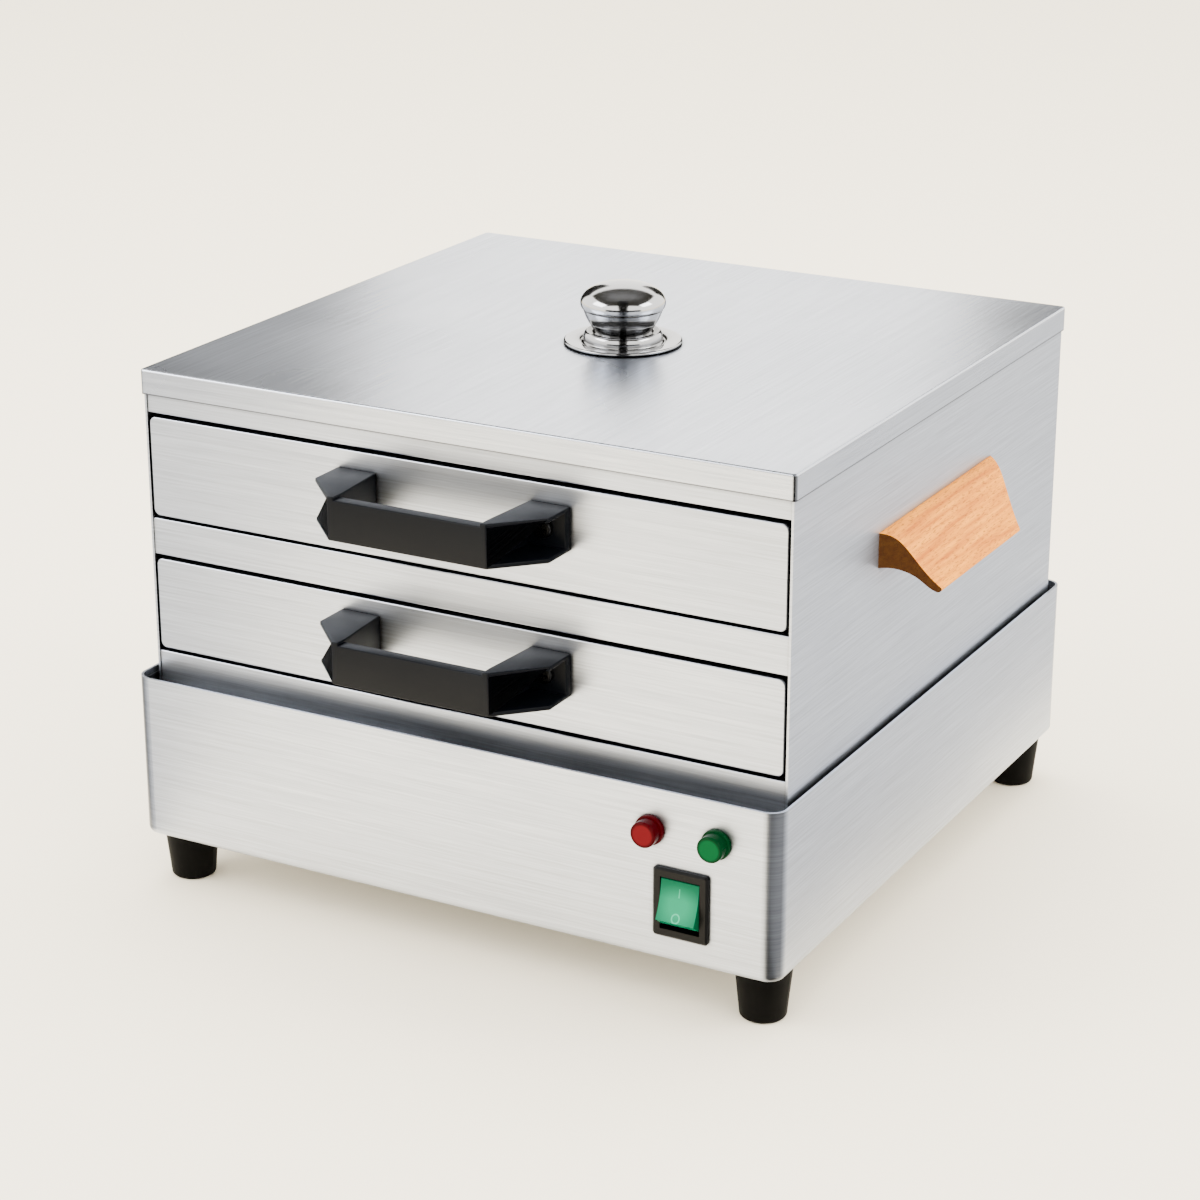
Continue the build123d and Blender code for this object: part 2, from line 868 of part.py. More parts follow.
def make_inlet():
    """Moulded inlet housing: flange outside, body inside, an open socket towards the back."""
    flange = upright_plate(
        inlet_x - inlet_flange_width / 2, inlet_x + inlet_flange_width / 2,
        inlet_z - inlet_flange_height / 2, inlet_z + inlet_flange_height / 2,
        base_back, base_back + inlet_flange_thickness, inlet_flange_radius,
    )
    body = block(
        inlet_x - inlet_body_width / 2, inlet_x + inlet_body_width / 2,
        base_back - inlet_body_depth, base_back,
        inlet_z - inlet_body_height / 2, inlet_z + inlet_body_height / 2,
    )
    mouth = base_back + inlet_flange_thickness
    socket = upright_plate(
        inlet_x - inlet_socket_width / 2, inlet_x + inlet_socket_width / 2,
        inlet_z - inlet_socket_height / 2, inlet_z + inlet_socket_height / 2,
        mouth - inlet_socket_depth, mouth + cut_margin, inlet_socket_radius,
    )
    inlet = flange + body - socket
    for side in (-1, 1):
        inlet -= rod(
            (inlet_x + side * inlet_screw_spacing / 2, base_back - cut_margin, inlet_z), back,
            screw_m3 + hole_clearance, inlet_flange_thickness + 2 * cut_margin,
        )
    for x, z in inlet_pin_places:
        inlet -= inlet_blade(x, z)
    return inlet


inlet_pin_places = [
    (inlet_x - inlet_pin_spacing / 2, inlet_z - inlet_pin_offset),
    (inlet_x, inlet_z + inlet_pin_offset),
    (inlet_x + inlet_pin_spacing / 2, inlet_z - inlet_pin_offset),
]
inlet_tab_roots = [
    Vector(x, base_back - inlet_body_depth, z) for x, z in inlet_pin_places
]


def inlet_blade(x, z):
    """One flat inlet pin, through the floor of the socket."""
    return block(
        x - inlet_pin_width / 2, x + inlet_pin_width / 2,
        base_back - inlet_body_depth, base_back + inlet_flange_thickness - inlet_pin_short,
        z - inlet_pin_height / 2, z + inlet_pin_height / 2,
    )


inlet_screw_xs = [inlet_x - inlet_screw_spacing / 2, inlet_x + inlet_screw_spacing / 2]
save("power_inlet", make_inlet())
save("inlet_pins", *[
    inlet_blade(x, z) + tab(root, -back)
    for (x, z), root in zip(inlet_pin_places, inlet_tab_roots)
])
m3_screws += [
    pan_screw(
        Vector(x, base_back + inlet_flange_thickness, inlet_z), -back,
        screw_m3, screw_m3_length, head_m3, head_height_m3,
    )
    for x in inlet_screw_xs
]
m3_nuts += [
    hex_nut(
        (x, rear_inner, inlet_z), -back, nut_m3_flats, nut_m3_height, screw_m3 + hole_clearance
    )
    for x in inlet_screw_xs
]
save("m3_screws", *m3_screws)
save("m3_nuts", *m3_nuts)

earth_lug_z = flange_top_z + nut_m4_height
m4_nut_seats += [
    (earth_x, earth_y, z) for z in (flange_top_z, earth_lug_z + washer_thickness)
]
save("m4_nuts", *[
    hex_nut(seat, up, nut_m4_flats, nut_m4_height, screw_m4 + hole_clearance)
    for seat in m4_nut_seats
])

# Steam box: two side walls, back wall and three front rails, welded together

rail_front = box_front + rail_setback
inner_back = box_back - box_sheet


def make_side_wall(side):
    """Side wall with an inward foot that stands on the tank ledge, and holes for its grip."""
    wall = block(box_inner, box_half, box_front, box_back, ledge_z, box_top_z)
    wall += block(
        box_inner - box_flange, box_inner, rail_front + rail_return + side_gap,
        inner_back - box_flange - side_gap, ledge_z, ledge_z + box_sheet,
    )
    for y in (-grip_screw_spacing / 2, grip_screw_spacing / 2):
        wall -= rod(
            (box_inner - cut_margin, y, grip_screw_z), right,
            screw_m4 + hole_clearance, box_sheet + 2 * cut_margin,
        )
    if side < 0:
        wall = wall.mirror(Plane.YZ)
    return wall


def make_back_wall():
    """Back wall between the side walls, with an inward foot."""
    wall = block(-box_inner, box_inner, inner_back, box_back, ledge_z, box_top_z)
    return wall + block(
        -box_inner, box_inner, inner_back - box_flange, inner_back, ledge_z, ledge_z + box_sheet
    )


def make_rail(bottom, top, returns):
    """Front rail: a face with a return folded back along each edge that is asked for."""
    rail = block(-box_inner, box_inner, rail_front, rail_front + box_sheet, bottom, top)
    for z in returns:
        rail += block(
            -box_inner, box_inner, rail_front, rail_front + rail_return, z, z + box_sheet
        )
    edges = rail.edges().filter_by(Axis.X).group_by(Axis.Y)[0]
    return fillet(edges, rail_edge_radius)


grip_screw_z = grip_top_z - grip_screw_drop

save("side_wall_left", make_side_wall(-1))
save("side_wall_right", make_side_wall(1))
save("back_wall", make_back_wall())
save("top_rail", make_rail(
    box_top_z - top_rail_height, box_top_z, (box_top_z - top_rail_height, box_top_z - box_sheet)
))
save("middle_rail", make_rail(
    mid_rail_bottom, mid_rail_top, (mid_rail_bottom, mid_rail_top - box_sheet)
))
save("bottom_rail", make_rail(
    ledge_z, bottom_rail_top, (ledge_z, bottom_rail_top - box_sheet)
))


def make_steam_plate():
    """Perforated plate on the feet of the walls, which spreads the steam."""
    plate = block(
        -box_inner + plate_edge_gap, box_inner - plate_edge_gap,
        rail_front + box_sheet + plate_edge_gap, inner_back - plate_edge_gap,
        ledge_z + box_sheet, ledge_z + 2 * box_sheet,
    )
    holes = GridLocations(plate_hole_pitch, plate_hole_pitch, plate_holes_x, plate_holes_y)
    punches = extrude(Sketch() + holes * Circle(plate_hole_radius), 2 * box_sheet)
    return plate - Pos(0, 0, ledge_z + box_sheet / 2) * punches


save("steam_plate", make_steam_plate())


# Drawers: a folded front, a tray behind it, and a handle through both

tray_inner_front = box_front + drawer_sheet
tray_half = box_inner - tray_side_room
tray_back = inner_back - tray_back_room


def make_drawer_front(bottom, top):
    """Folded front panel, open at the back, with holes for the handle screws."""
    half = box_inner - side_gap
    panel = upright_plate(
        -half, half, bottom, top, box_front, box_front + drawer_front_depth, drawer_corner_radius
    )
    panel = fillet(panel.faces().sort_by(Axis.Y)[0].edges(), drawer_edge_radius)
    panel -= upright_plate(
        -half + drawer_sheet, half - drawer_sheet, bottom + drawer_sheet, top - drawer_sheet,
        tray_inner_front, box_front + drawer_front_depth + cut_margin,
        drawer_corner_radius - drawer_sheet,
    )
    return panel - handle_holes((bottom + top) / 2 + handle_raise)


def handle_holes(z):
    """Clearance holes for the two handle screws, through panel and tray."""
    holes = [
        rod(
            (side * handle_screw_x, box_front - cut_margin, z), back,
            screw_m4 + hole_clearance, 2 * drawer_sheet + 2 * cut_margin,
        )
        for side in (-1, 1)
    ]
    return holes[0] + holes[1]


def make_tray(top, handle_z):
    """Shallow rice tray with a flat rim that slides on the runners."""
    rim_z = top - tray_rim_drop
    tray = rounded_block(
        -tray_half, tray_half, tray_inner_front, tray_back,
        rim_z - tray_depth, rim_z, tray_corner_radius,
    )
    tray = fillet(tray.faces().sort_by(Axis.Z)[0].edges(), tray_bottom_radius)
    tray += rounded_block(
        -tray_half - tray_rim_overhang, tray_half + tray_rim_overhang,
        tray_inner_front, tray_back + tray_rim_back, rim_z - drawer_sheet, rim_z,
        drawer_corner_radius,
    )
    hollow = rounded_block(
        -tray_half + drawer_sheet, tray_half - drawer_sheet,
        tray_inner_front + drawer_sheet, tray_back - drawer_sheet,
        rim_z - tray_depth + drawer_sheet, rim_z + cut_margin, tray_corner_radius - drawer_sheet,
    )
    hollow = fillet(
        hollow.faces().sort_by(Axis.Z)[0].edges(), tray_bottom_radius - drawer_sheet
    )
    return tray - hollow - handle_holes(handle_z)


def make_runner(top):
    """Channel runner on the right wall: a shelf under the tray rim and a guard over it."""
    shelf_z = top - tray_rim_drop - drawer_sheet - slide_gap
    y0 = box_front + runner_start
    y1 = inner_back - runner_end_room
    web = block(
        box_inner - runner_sheet, box_inner, y0, y1, shelf_z - runner_sheet,
        shelf_z + runner_throat,
    )
    shelf = block(box_inner - runner_shelf, box_inner, y0, y1, shelf_z - runner_sheet, shelf_z)
    guard = block(
        box_inner - runner_guard, box_inner, y0, y1, shelf_z + runner_throat - runner_sheet,
        shelf_z + runner_throat,
    )
    return web + shelf + guard


def make_handle(z):
    """Moulded bridge handle: two hollow legs, open at the sides, and a plain grip."""
    y = box_front
    outline = Polyline(
        (-handle_half_length, y), (-handle_half_length, y - handle_flank),
        (-handle_grip_half, y - handle_reach), (handle_grip_half, y - handle_reach),
        (handle_half_length, y - handle_flank), (handle_half_length, y),
        (handle_inner_base, y), (handle_inner_grip, y - handle_reach + handle_grip_thickness),
        (-handle_inner_grip, y - handle_reach + handle_grip_thickness), (-handle_inner_base, y),
        close=True,
    )
    bottom = z - handle_height / 2
    handle = extrude(Pos(0, 0, bottom) * make_face(outline), handle_height)
    step = block(
        -handle_inner_grip, handle_inner_grip, y - handle_reach,
        y - handle_reach + handle_grip_thickness,
        bottom + handle_height - handle_grip_step, bottom + handle_height + cut_margin,
    )
    handle -= step
    pocket = Polyline(
        (handle_half_length + cut_margin, y - handle_back_wall),
        (handle_half_length + cut_margin, y - handle_flank),
        (handle_grip_half + cut_margin, y - handle_reach),
        (handle_inner_grip + handle_skin, y - handle_reach + handle_grip_thickness - handle_skin),
        (handle_inner_base + handle_skin, y - handle_back_wall),
        close=True,
    )
    pocket = extrude(
        Pos(0, 0, bottom + handle_skin) * make_face(pocket), handle_height - 2 * handle_skin
    )
    handle = handle - pocket - pocket.mirror(Plane.YZ)
    for side in (-1, 1):
        handle -= rod(
            (side * handle_screw_x, y - handle_back_wall - cut_margin, z), back,
            screw_m4 + hole_clearance, handle_back_wall + 2 * cut_margin,
        )
    return handle


def handle_screws(z):
    """The two screws of one handle, driven from inside its legs."""
    length = handle_back_wall + 2 * drawer_sheet + nut_m4_height + thread_end
    return [
        pan_screw(
            Vector(side * handle_screw_x, box_front - handle_back_wall, z), back,
            screw_m4, length, head_m4, head_height_m4,
        )
        for side in (-1, 1)
    ]


def handle_nuts(z):
    """The nuts of one handle, inside the tray."""
    return [
        hex_nut(
            (side * handle_screw_x, tray_inner_front + drawer_sheet, z), back,
            nut_m4_flats, nut_m4_height, screw_m4 + hole_clearance,
        )
        for side in (-1, 1)
    ]


drawers = {
    "upper": (upper_front_bottom, upper_front_top),
    "lower": (lower_front_bottom, lower_front_top),
}
for level, (front_bottom, front_top) in drawers.items():
    handle_z = (front_bottom + front_top) / 2 + handle_raise
    runner = make_runner(front_top)
    save(f"runner_{level}_right", runner)
    save(f"runner_{level}_left", runner.mirror(Plane.YZ))
    save(f"{level}_drawer_front", make_drawer_front(front_bottom, front_top))
    save(f"{level}_tray", make_tray(front_top, handle_z))
    save(f"{level}_handle", make_handle(handle_z))
    save(f"{level}_handle_screws", *handle_screws(handle_z))
    save(f"{level}_handle_nuts", *handle_nuts(handle_z))

# Beech side grips, screwed on from inside the box


def make_grip():
    """Right-hand grip: an ogee section whose ends slant in towards the lip."""
    reach = grip_reach
    wall_bottom = grip_top_z - grip_wall_height
    tip_z = grip_top_z - grip_tip_drop
    lip_z = tip_z + grip_lip
    top = Spline(
        (0, grip_top_z), (grip_shoulder_out, grip_top_z - grip_shoulder_drop),
        (grip_flank_out, grip_top_z - grip_flank_drop), (reach, lip_z),
        tangents=((1, -0.16), (0.7, -0.8)),
    )
    lip = ThreePointArc((reach, lip_z), (reach, tip_z + grip_lip / 3), (reach - grip_lip, tip_z))
    under = Spline(
        (reach - grip_lip, tip_z), (grip_under_out, tip_z + grip_under_rise),
        (grip_root_out, wall_bottom - grip_root_drop), (0, wall_bottom),
        tangents=((-0.85, 0.5), (-1, 0)),
    )
    wall = Line((0, wall_bottom), (0, grip_top_z))
    section = make_face(Curve([top, lip, under, wall]))
    half = grip_length / 2
    plane = Plane(origin=(box_half, half, 0), x_dir=(1, 0, 0), z_dir=(0, -1, 0))
    grip = extrude(plane * section, grip_length)
    slant = make_face(Polyline(
        (box_half, half), (box_half + reach, grip_tip_length / 2),
        (box_half + 2 * reach, grip_tip_length / 2), (box_half + 2 * reach, half + reach),
        (box_half, half + reach), close=True,
    ))
    slant = extrude(slant, 2 * grip_top_z)
    grip = grip - slant - slant.mirror(Plane.XZ)
    for y in (-grip_screw_spacing / 2, grip_screw_spacing / 2):
        grip -= rod(
            (box_half - cut_margin, y, grip_screw_z), right,
            screw_m4 + bush_clearance, grip_screw_length,
        )
    return grip


grip = make_grip()
save("wood_grip_right", grip)
save("wood_grip_left", grip.mirror(Plane.YZ))
grip_screw_list = []
grip_washer_list = []
for side in (-1, 1):
    inward = right * -side
    for y in (-grip_screw_spacing / 2, grip_screw_spacing / 2):
        wall_face = Vector(side * box_inner, y, grip_screw_z)
        grip_washer_list.append(
            ring(wall_face, inward, washer_m4_radius, screw_m4 + hole_clearance, washer_thickness)
        )
        grip_screw_list.append(pan_screw(
            wall_face + inward * washer_thickness, -inward, screw_m4,
            grip_screw_length, head_m4, head_height_m4,
        ))
save("grip_screws", *grip_screw_list)
save("grip_washers", *grip_washer_list)

# Lid pan, knob and the knob's screw


def make_lid():
    """Pressed lid with a turned-down skirt that hangs over the box."""
    half_x = box_half + lid_clearance + lid_sheet
    half_y = box_back + lid_clearance + lid_sheet
    bottom = lid_top_z - lid_skirt
    lid = rounded_block(-half_x, half_x, -half_y, half_y, bottom, lid_top_z, lid_corner_radius)
    lid = fillet(lid.faces().sort_by(Axis.Z)[-1].edges(), lid_edge_radius)
    lid -= rounded_block(
        -half_x + lid_sheet, half_x - lid_sheet, -half_y + lid_sheet, half_y - lid_sheet,
        bottom - cut_margin, box_top_z, lid_corner_radius - lid_sheet,
    )
    return lid - rod(
        (knob_offset_x, knob_offset_y, box_top_z - cut_margin), up,
        screw_m4 + hole_clearance, lid_sheet + 2 * cut_margin,
    )


def turned(outline):
    """Turn an outline of radius and height round the knob's axis, from the lid's top."""
    centre = (knob_offset_x, knob_offset_y, lid_top_z)
    plane = Plane(origin=centre, x_dir=(1, 0, 0), z_dir=(0, -1, 0))
    axis = Axis(centre, (0, 0, 1))
    return revolve(plane * make_face(outline), axis)


def make_knob_flange():
    """Spun dish with a raised collar whose upper ring carries the knob."""
    bore = screw_m4 + hole_clearance
    rim_top = flange_rim_rise + flange_thickness
    rim_radius = flange_radius - flange_thickness / 2
    ring_foot = collar_height - collar_ring_height
    ring_shoulder = collar_ring_radius - collar_ring_lip
    ring_middle = collar_height - collar_ring_lip
    dish = Polyline((bore, 0), (flange_seat_radius, 0), (rim_radius, flange_rim_rise))
    edge = ThreePointArc(
        (rim_radius, flange_rim_rise), (flange_radius, (flange_rim_rise + rim_top) / 2),
        (rim_radius, rim_top),
    )
    collar = Polyline(
        (rim_radius, rim_top), (collar_radius, flange_thickness), (collar_radius, ring_foot),
        (ring_shoulder, ring_middle - collar_ring_lip / 2), (collar_ring_radius, ring_middle),
        (ring_shoulder, ring_middle + collar_ring_lip / 2), (knob_neck_radius, collar_height),
        (bore, collar_height), (bore, 0),
    )
    return turned(Curve([dish, edge, collar]))


def make_knob():
    """Solid turned knob: a cone that widens to a seam, under a flat dome."""
    bore = screw_m4 + bush_clearance
    top = knob_wide_height + knob_dome
    bore_top = collar_height + knob_bore_depth
    cone = ThreePointArc(
        (knob_neck_radius, collar_height),
        (
            (knob_neck_radius + knob_seam_radius) / 2 + knob_cone_swell,
            (collar_height + knob_seam_height) / 2,
        ),
        (knob_seam_radius, knob_seam_height),
    )
    shoulder = Spline(
        (knob_seam_radius, knob_seam_height), (knob_radius, knob_wide_height),
        tangents=((0.9, 0.5), (0, 1)),
    )
    eighth = math.sqrt(0.5)
    dome = Spline(
        (knob_radius, knob_wide_height),
        (knob_radius * eighth, knob_wide_height + knob_dome * eighth), (0, top),
        tangents=((0, 1), (-1, 0)),
    )
    inside = Polyline(
        (0, top), (0, bore_top), (bore, bore_top), (bore, collar_height),
        (knob_neck_radius, collar_height),
    )
    return turned(Curve([cone, shoulder, dome, inside]))


save("lid_pan", make_lid())
save("knob_flange", make_knob_flange())
save("lid_knob", make_knob())
save("knob_washer", ring(
    (knob_offset_x, knob_offset_y, box_top_z), -up,
    washer_m4_radius, screw_m4 + hole_clearance, washer_thickness,
))
knob_screw_length = washer_thickness + lid_sheet + collar_height + knob_bore_depth - cut_margin
save("knob_screw", pan_screw(
    Vector(knob_offset_x, knob_offset_y, box_top_z - washer_thickness), up,
    screw_m4, knob_screw_length, head_m4, head_height_m4,
))

# Inside wires, in sleeves pushed on the tabs


def sleeve_end(root, direction):
    """Where the wire leaves a sleeve."""
    return root + direction * sleeve_length


inlet_neutral, inlet_earth, inlet_live = inlet_tab_roots
switch_live_out, switch_lamp_left, switch_live_in, switch_lamp_right = switch_tab_roots
cutout_left, cutout_right = cutout_tab_roots
under_tank_z = (base_floor_z + tank_floor_z) / 2 - wire_radius
pin_end_y = element_end - insulator_length - terminal_pin_length
front_lane_y = (pin_end_y + panel_inner) / 2 - wire_radius
lamp_lane_y = tank_front - 3 * wire_radius
tank_lane_y = tank_front + wire_lane_gap
block_rear = block_y1 - block_depth / 4
block_front = block_y0 + block_depth / 4
lamp_lead_x = lamp_body_radius / 2


def live_in():
    """From the inlet, under the tank, to the switch."""
    start = sleeve_end(inlet_live, -back)
    end = sleeve_end(switch_live_in, back)
    return wire(
        wire_radius, tuple(start), (start.X, start.Y - wire_rear_run, start.Z),
        (start.X + wire_bow, 0, start.Z + wire_sag),
        (end.X, cutout_y - wire_straight, end.Z), tuple(end),
    )


def live_out():
    """From the switch to the boil-dry cut-out."""
    start = sleeve_end(switch_live_out, back)
    end = sleeve_end(cutout_right, -back)
    return wire(
        wire_radius, tuple(start), (start.X, tank_lane_y, start.Z),
        (end.X, end.Y - wire_straight, end.Z), tuple(end),
    )


def heater_live():
    """From the boil-dry cut-out to the right-hand pin of the element."""
    start = sleeve_end(cutout_left, -back)
    low_z = start.Z - wire_lift
    return wire(
        wire_radius, tuple(start), (start.X, start.Y - wire_straight, start.Z),
        (element_leg_x + wire_bow, tank_lane_y, low_z), (element_leg_x, front_lane_y, low_z),
        (element_leg_x, front_lane_y, element_z), (element_leg_x, pin_end_y, element_z),
    )


def lamp_feed(x, root):
    """Thin lead from the back of a lamp down to the switch."""
    end = sleeve_end(root, back)
    return wire(
        lead_radius, (x, lamp_back_y, lamp_z), (x, lamp_lane_y, lamp_z),
        (end.X, lamp_lane_y, end.Z), tuple(end),
    )


def neutral_in():
    """From the inlet, under the tank, to the terminal block."""
    start = sleeve_end(inlet_neutral, -back)
    return wire(
        wire_radius, tuple(start), (start.X, start.Y - wire_rear_run, start.Z),
        (inlet_x / 4, 0, under_tank_z),
        (block_x, tank_lane_y + 2 * wire_straight, block_way_z), (block_x, block_rear, block_way_z),
    )


def heater_neutral():
    """From the left-hand pin of the element to the terminal block."""
    return wire(
        wire_radius, (-element_leg_x, pin_end_y, element_z),
        (-element_leg_x, front_lane_y, element_z), (block_ways[0], front_lane_y, block_way_z),
        (block_ways[0], block_front, block_way_z),
    )


def lamp_return(x, way_x):
    """Thin lead from the back of a lamp to the terminal block."""
    back_y = lamp_lane_y + lamp_return_back
    return wire(
        lead_radius, (x, lamp_back_y, lamp_z), (x, lamp_lane_y, lamp_z),
        (x - lamp_return_drop, lamp_lane_y, under_tank_z),
        (x - lamp_return_side, back_y, under_tank_z - lamp_return_drop),
        (way_x, back_y + wire_sag, block_way_z), (way_x, block_rear, block_way_z),
    )


earth_start = sleeve_end(inlet_earth, -back)
earth_wire_end = Vector(
    earth_x, earth_y - lug_setback, earth_lug_z + washer_thickness / 2 + wire_radius
)


def earth_wire():
    """From the inlet, over the neutral wire, down to the lug on the earth stud."""
    high_z = earth_start.Z + wire_lift
    return wire(
        wire_radius, tuple(earth_start), (earth_start.X, earth_start.Y - wire_bow, earth_start.Z),
        (inlet_neutral.X, earth_start.Y - wire_straight, high_z),
        (earth_x, earth_wire_end.Y - wire_straight, earth_wire_end.Z), tuple(earth_wire_end),
    )


def earth_lug():
    """Ring lug on the earth stud, with the barrel that grips the wire."""
    lug = ring(
        (earth_x, earth_y, earth_lug_z), up, washer_m4_radius,
        screw_m4 + hole_clearance, washer_thickness,
    )
    return lug + rod(earth_wire_end, back, wire_radius + sleeve_wall, lug_barrel_length)


def pin_barrel(x):
    """Crimp barrel over one terminal pin of the element."""
    return ring(
        (x, element_end - insulator_length, element_z), -back,
        terminal_pin_radius + 2 * sleeve_gap + sleeve_wall, terminal_pin_radius + sleeve_gap,
        terminal_pin_length + sleeve_length / 4,
    )


lead_gap = lead_radius + sleeve_gap
save(
    "live_wires", live_in(), live_out(), heater_live(),
    lamp_feed(lamp_places[0] + lamp_lead_x, switch_lamp_left),
    lamp_feed(lamp_places[1] - lamp_lead_x, switch_lamp_right),
)
save(
    "neutral_wires", neutral_in(), heater_neutral(),
    lamp_return(lamp_places[0] - lamp_lead_x, block_ways[2] + lead_gap),
    lamp_return(lamp_places[1] + lamp_lead_x, block_ways[2] - lead_gap),
)
save("earth_wire", earth_wire())
save(
    "wire_sleeves",
    *[sleeve(root, back) for root in switch_tab_roots],
    *[sleeve(root, -back) for root in cutout_tab_roots + inlet_tab_roots],
    *[pin_barrel(x) for x in element_legs],
    earth_lug(),
)
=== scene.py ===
import math

import bmesh
import bpy
from mathutils import Matrix, Vector


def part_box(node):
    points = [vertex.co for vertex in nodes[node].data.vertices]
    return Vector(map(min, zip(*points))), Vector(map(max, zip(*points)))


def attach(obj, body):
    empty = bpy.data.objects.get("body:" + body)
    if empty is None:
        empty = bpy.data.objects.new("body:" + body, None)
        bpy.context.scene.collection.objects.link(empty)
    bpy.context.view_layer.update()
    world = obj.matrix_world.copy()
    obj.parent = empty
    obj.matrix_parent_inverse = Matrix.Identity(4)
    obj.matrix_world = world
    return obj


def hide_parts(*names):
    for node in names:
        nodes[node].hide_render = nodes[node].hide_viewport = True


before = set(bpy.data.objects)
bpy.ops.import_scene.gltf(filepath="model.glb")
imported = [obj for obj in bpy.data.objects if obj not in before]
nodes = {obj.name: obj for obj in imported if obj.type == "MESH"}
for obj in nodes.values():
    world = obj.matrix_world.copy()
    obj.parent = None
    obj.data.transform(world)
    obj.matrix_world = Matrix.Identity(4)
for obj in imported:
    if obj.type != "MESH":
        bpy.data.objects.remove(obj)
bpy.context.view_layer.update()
MM = 0.001


# Camera
# The photograph looks at the front right corner from a little above the lid,
# through a long lens, so the sheet edges run almost parallel.
camera_place = Vector((0.632, -1.1619, 0.6005))
camera_azimuth = math.radians(28.71)
camera_elevation = math.radians(20.09)
camera_look = Vector((
    -math.sin(camera_azimuth) * math.cos(camera_elevation),
    math.cos(camera_azimuth) * math.cos(camera_elevation),
    -math.sin(camera_elevation),
))
camera = bpy.data.objects.new("camera", bpy.data.cameras.new("camera"))
camera.data.sensor_width = 36
camera.data.lens = 91.2
camera.location = camera_place
camera.rotation_euler = camera_look.to_track_quat("-Z", "Y").to_euler()
bpy.context.scene.collection.objects.link(camera)
bpy.context.scene.camera = camera


# Floor and studio light
# A pale matt paper under a bright room, with soft boxes above, at the left and at the right.
# Black and grey cards stand out of shot, and only reflections in the steel show them.
floor_half = 9.0
floor_colour = "#FAF0DA"
sky_colour = "#FFFBF3"
sky_strength = 3.7
paper_roughness = 0.95


def linear(colour):
    """An sRGB hex colour as linear red, green, blue and alpha."""
    parts = [int(colour[i:i + 2], 16) / 255 for i in (1, 3, 5)]
    return [p / 12.92 if p <= 0.04045 else ((p + 0.055) / 1.055) ** 2.4 for p in parts] + [1.0]


def plug(tree, node, inputs):
    """Give a node's sockets their values, or a link from another node's output."""
    for name, value in inputs.items():
        if isinstance(value, bpy.types.NodeSocket):
            tree.links.new(value, node.inputs[name])
        else:
            node.inputs[name].default_value = value


def add(tree, kind, inputs, **settings):
    """Add one node with its settings and links."""
    node = tree.nodes.new("ShaderNode" + kind)
    for name, value in settings.items():
        setattr(node, name, value)
    plug(tree, node, inputs)
    return node


def new_material(name):
    """A material with its tree and its shader."""
    material = bpy.data.materials.new(name)
    material.use_nodes = True
    return material, material.node_tree, material.node_tree.nodes["Principled BSDF"]


def floor_finish():
    """Matt paper with hardly any sheen."""
    material, tree, shader = new_material("studio_paper")
    plug(tree, shader, {"Base Color": linear(floor_colour), "Roughness": paper_roughness})
    shader.inputs["Specular IOR Level"].default_value = 0.0
    return material


shape = bmesh.new()
bmesh.ops.create_grid(shape, x_segments=1, y_segments=1, size=floor_half)
floor_mesh = bpy.data.meshes.new("floor")
shape.to_mesh(floor_mesh)
shape.free()
floor_mesh.materials.append(floor_finish())
floor = bpy.data.objects.new("floor", floor_mesh)
bpy.context.scene.collection.objects.link(floor)

world = bpy.data.worlds.new("studio")
world.use_nodes = True
world.node_tree.nodes["Background"].inputs["Color"].default_value = linear(sky_colour)
world.node_tree.nodes["Background"].inputs["Strength"].default_value = sky_strength
bpy.context.scene.world = world


def soft_box(name, place, target, width, height, brightness):
    """A rectangular soft light aimed at a point."""
    light = bpy.data.lights.new(name, "AREA")
    light.shape = "RECTANGLE"
    light.size = width
    light.size_y = height
    light.energy = brightness * math.pi * width * height
    lamp = bpy.data.objects.new(name, light)
    lamp.location = place
    lamp.rotation_euler = (Vector(target) - Vector(place)).to_track_quat("-Z", "Y").to_euler()
    lamp.visible_camera = False
    bpy.context.scene.collection.objects.link(lamp)


box_middle = (0, 0, 0.15)
box_strength = 9
soft_box("top_box", (-0.3, 0.5, 2.3), box_middle, 1.7, 1.2, box_strength)
soft_box("left_box", (-1.4, -1.2, 1.5), box_middle, 1.3, 0.9, box_strength)
soft_box("right_box", (1.7, 0.4, 1.5), box_middle, 1.1, 0.7, box_strength)


def card(name, place, width, height, lean, turn, colour):
    """A matt card that only reflections see, leaned back and then turned."""
    shape = bmesh.new()
    bmesh.ops.create_grid(shape, x_segments=1, y_segments=1, size=0.5)
    bmesh.ops.scale(shape, vec=(width, height, 1), verts=shape.verts)
    for angle, axis in ((lean, "X"), (turn, "Z")):
        turned = Matrix.Rotation(math.radians(angle), 3, axis)
        bmesh.ops.rotate(shape, matrix=turned, verts=shape.verts)
    bmesh.ops.translate(shape, vec=place, verts=shape.verts)
    mesh = bpy.data.meshes.new(name)
    shape.to_mesh(mesh)
    shape.free()
    material, tree, shader = new_material(name + "_cloth")
    plug(tree, shader, {"Base Color": linear(colour), "Roughness": 1.0})
    shader.inputs["Specular IOR Level"].default_value = 0.0
    mesh.materials.append(material)
    sheet = bpy.data.objects.new(name, mesh)
    sheet.visible_camera = False
    sheet.visible_shadow = False
    sheet.visible_diffuse = False
    bpy.context.scene.collection.objects.link(sheet)


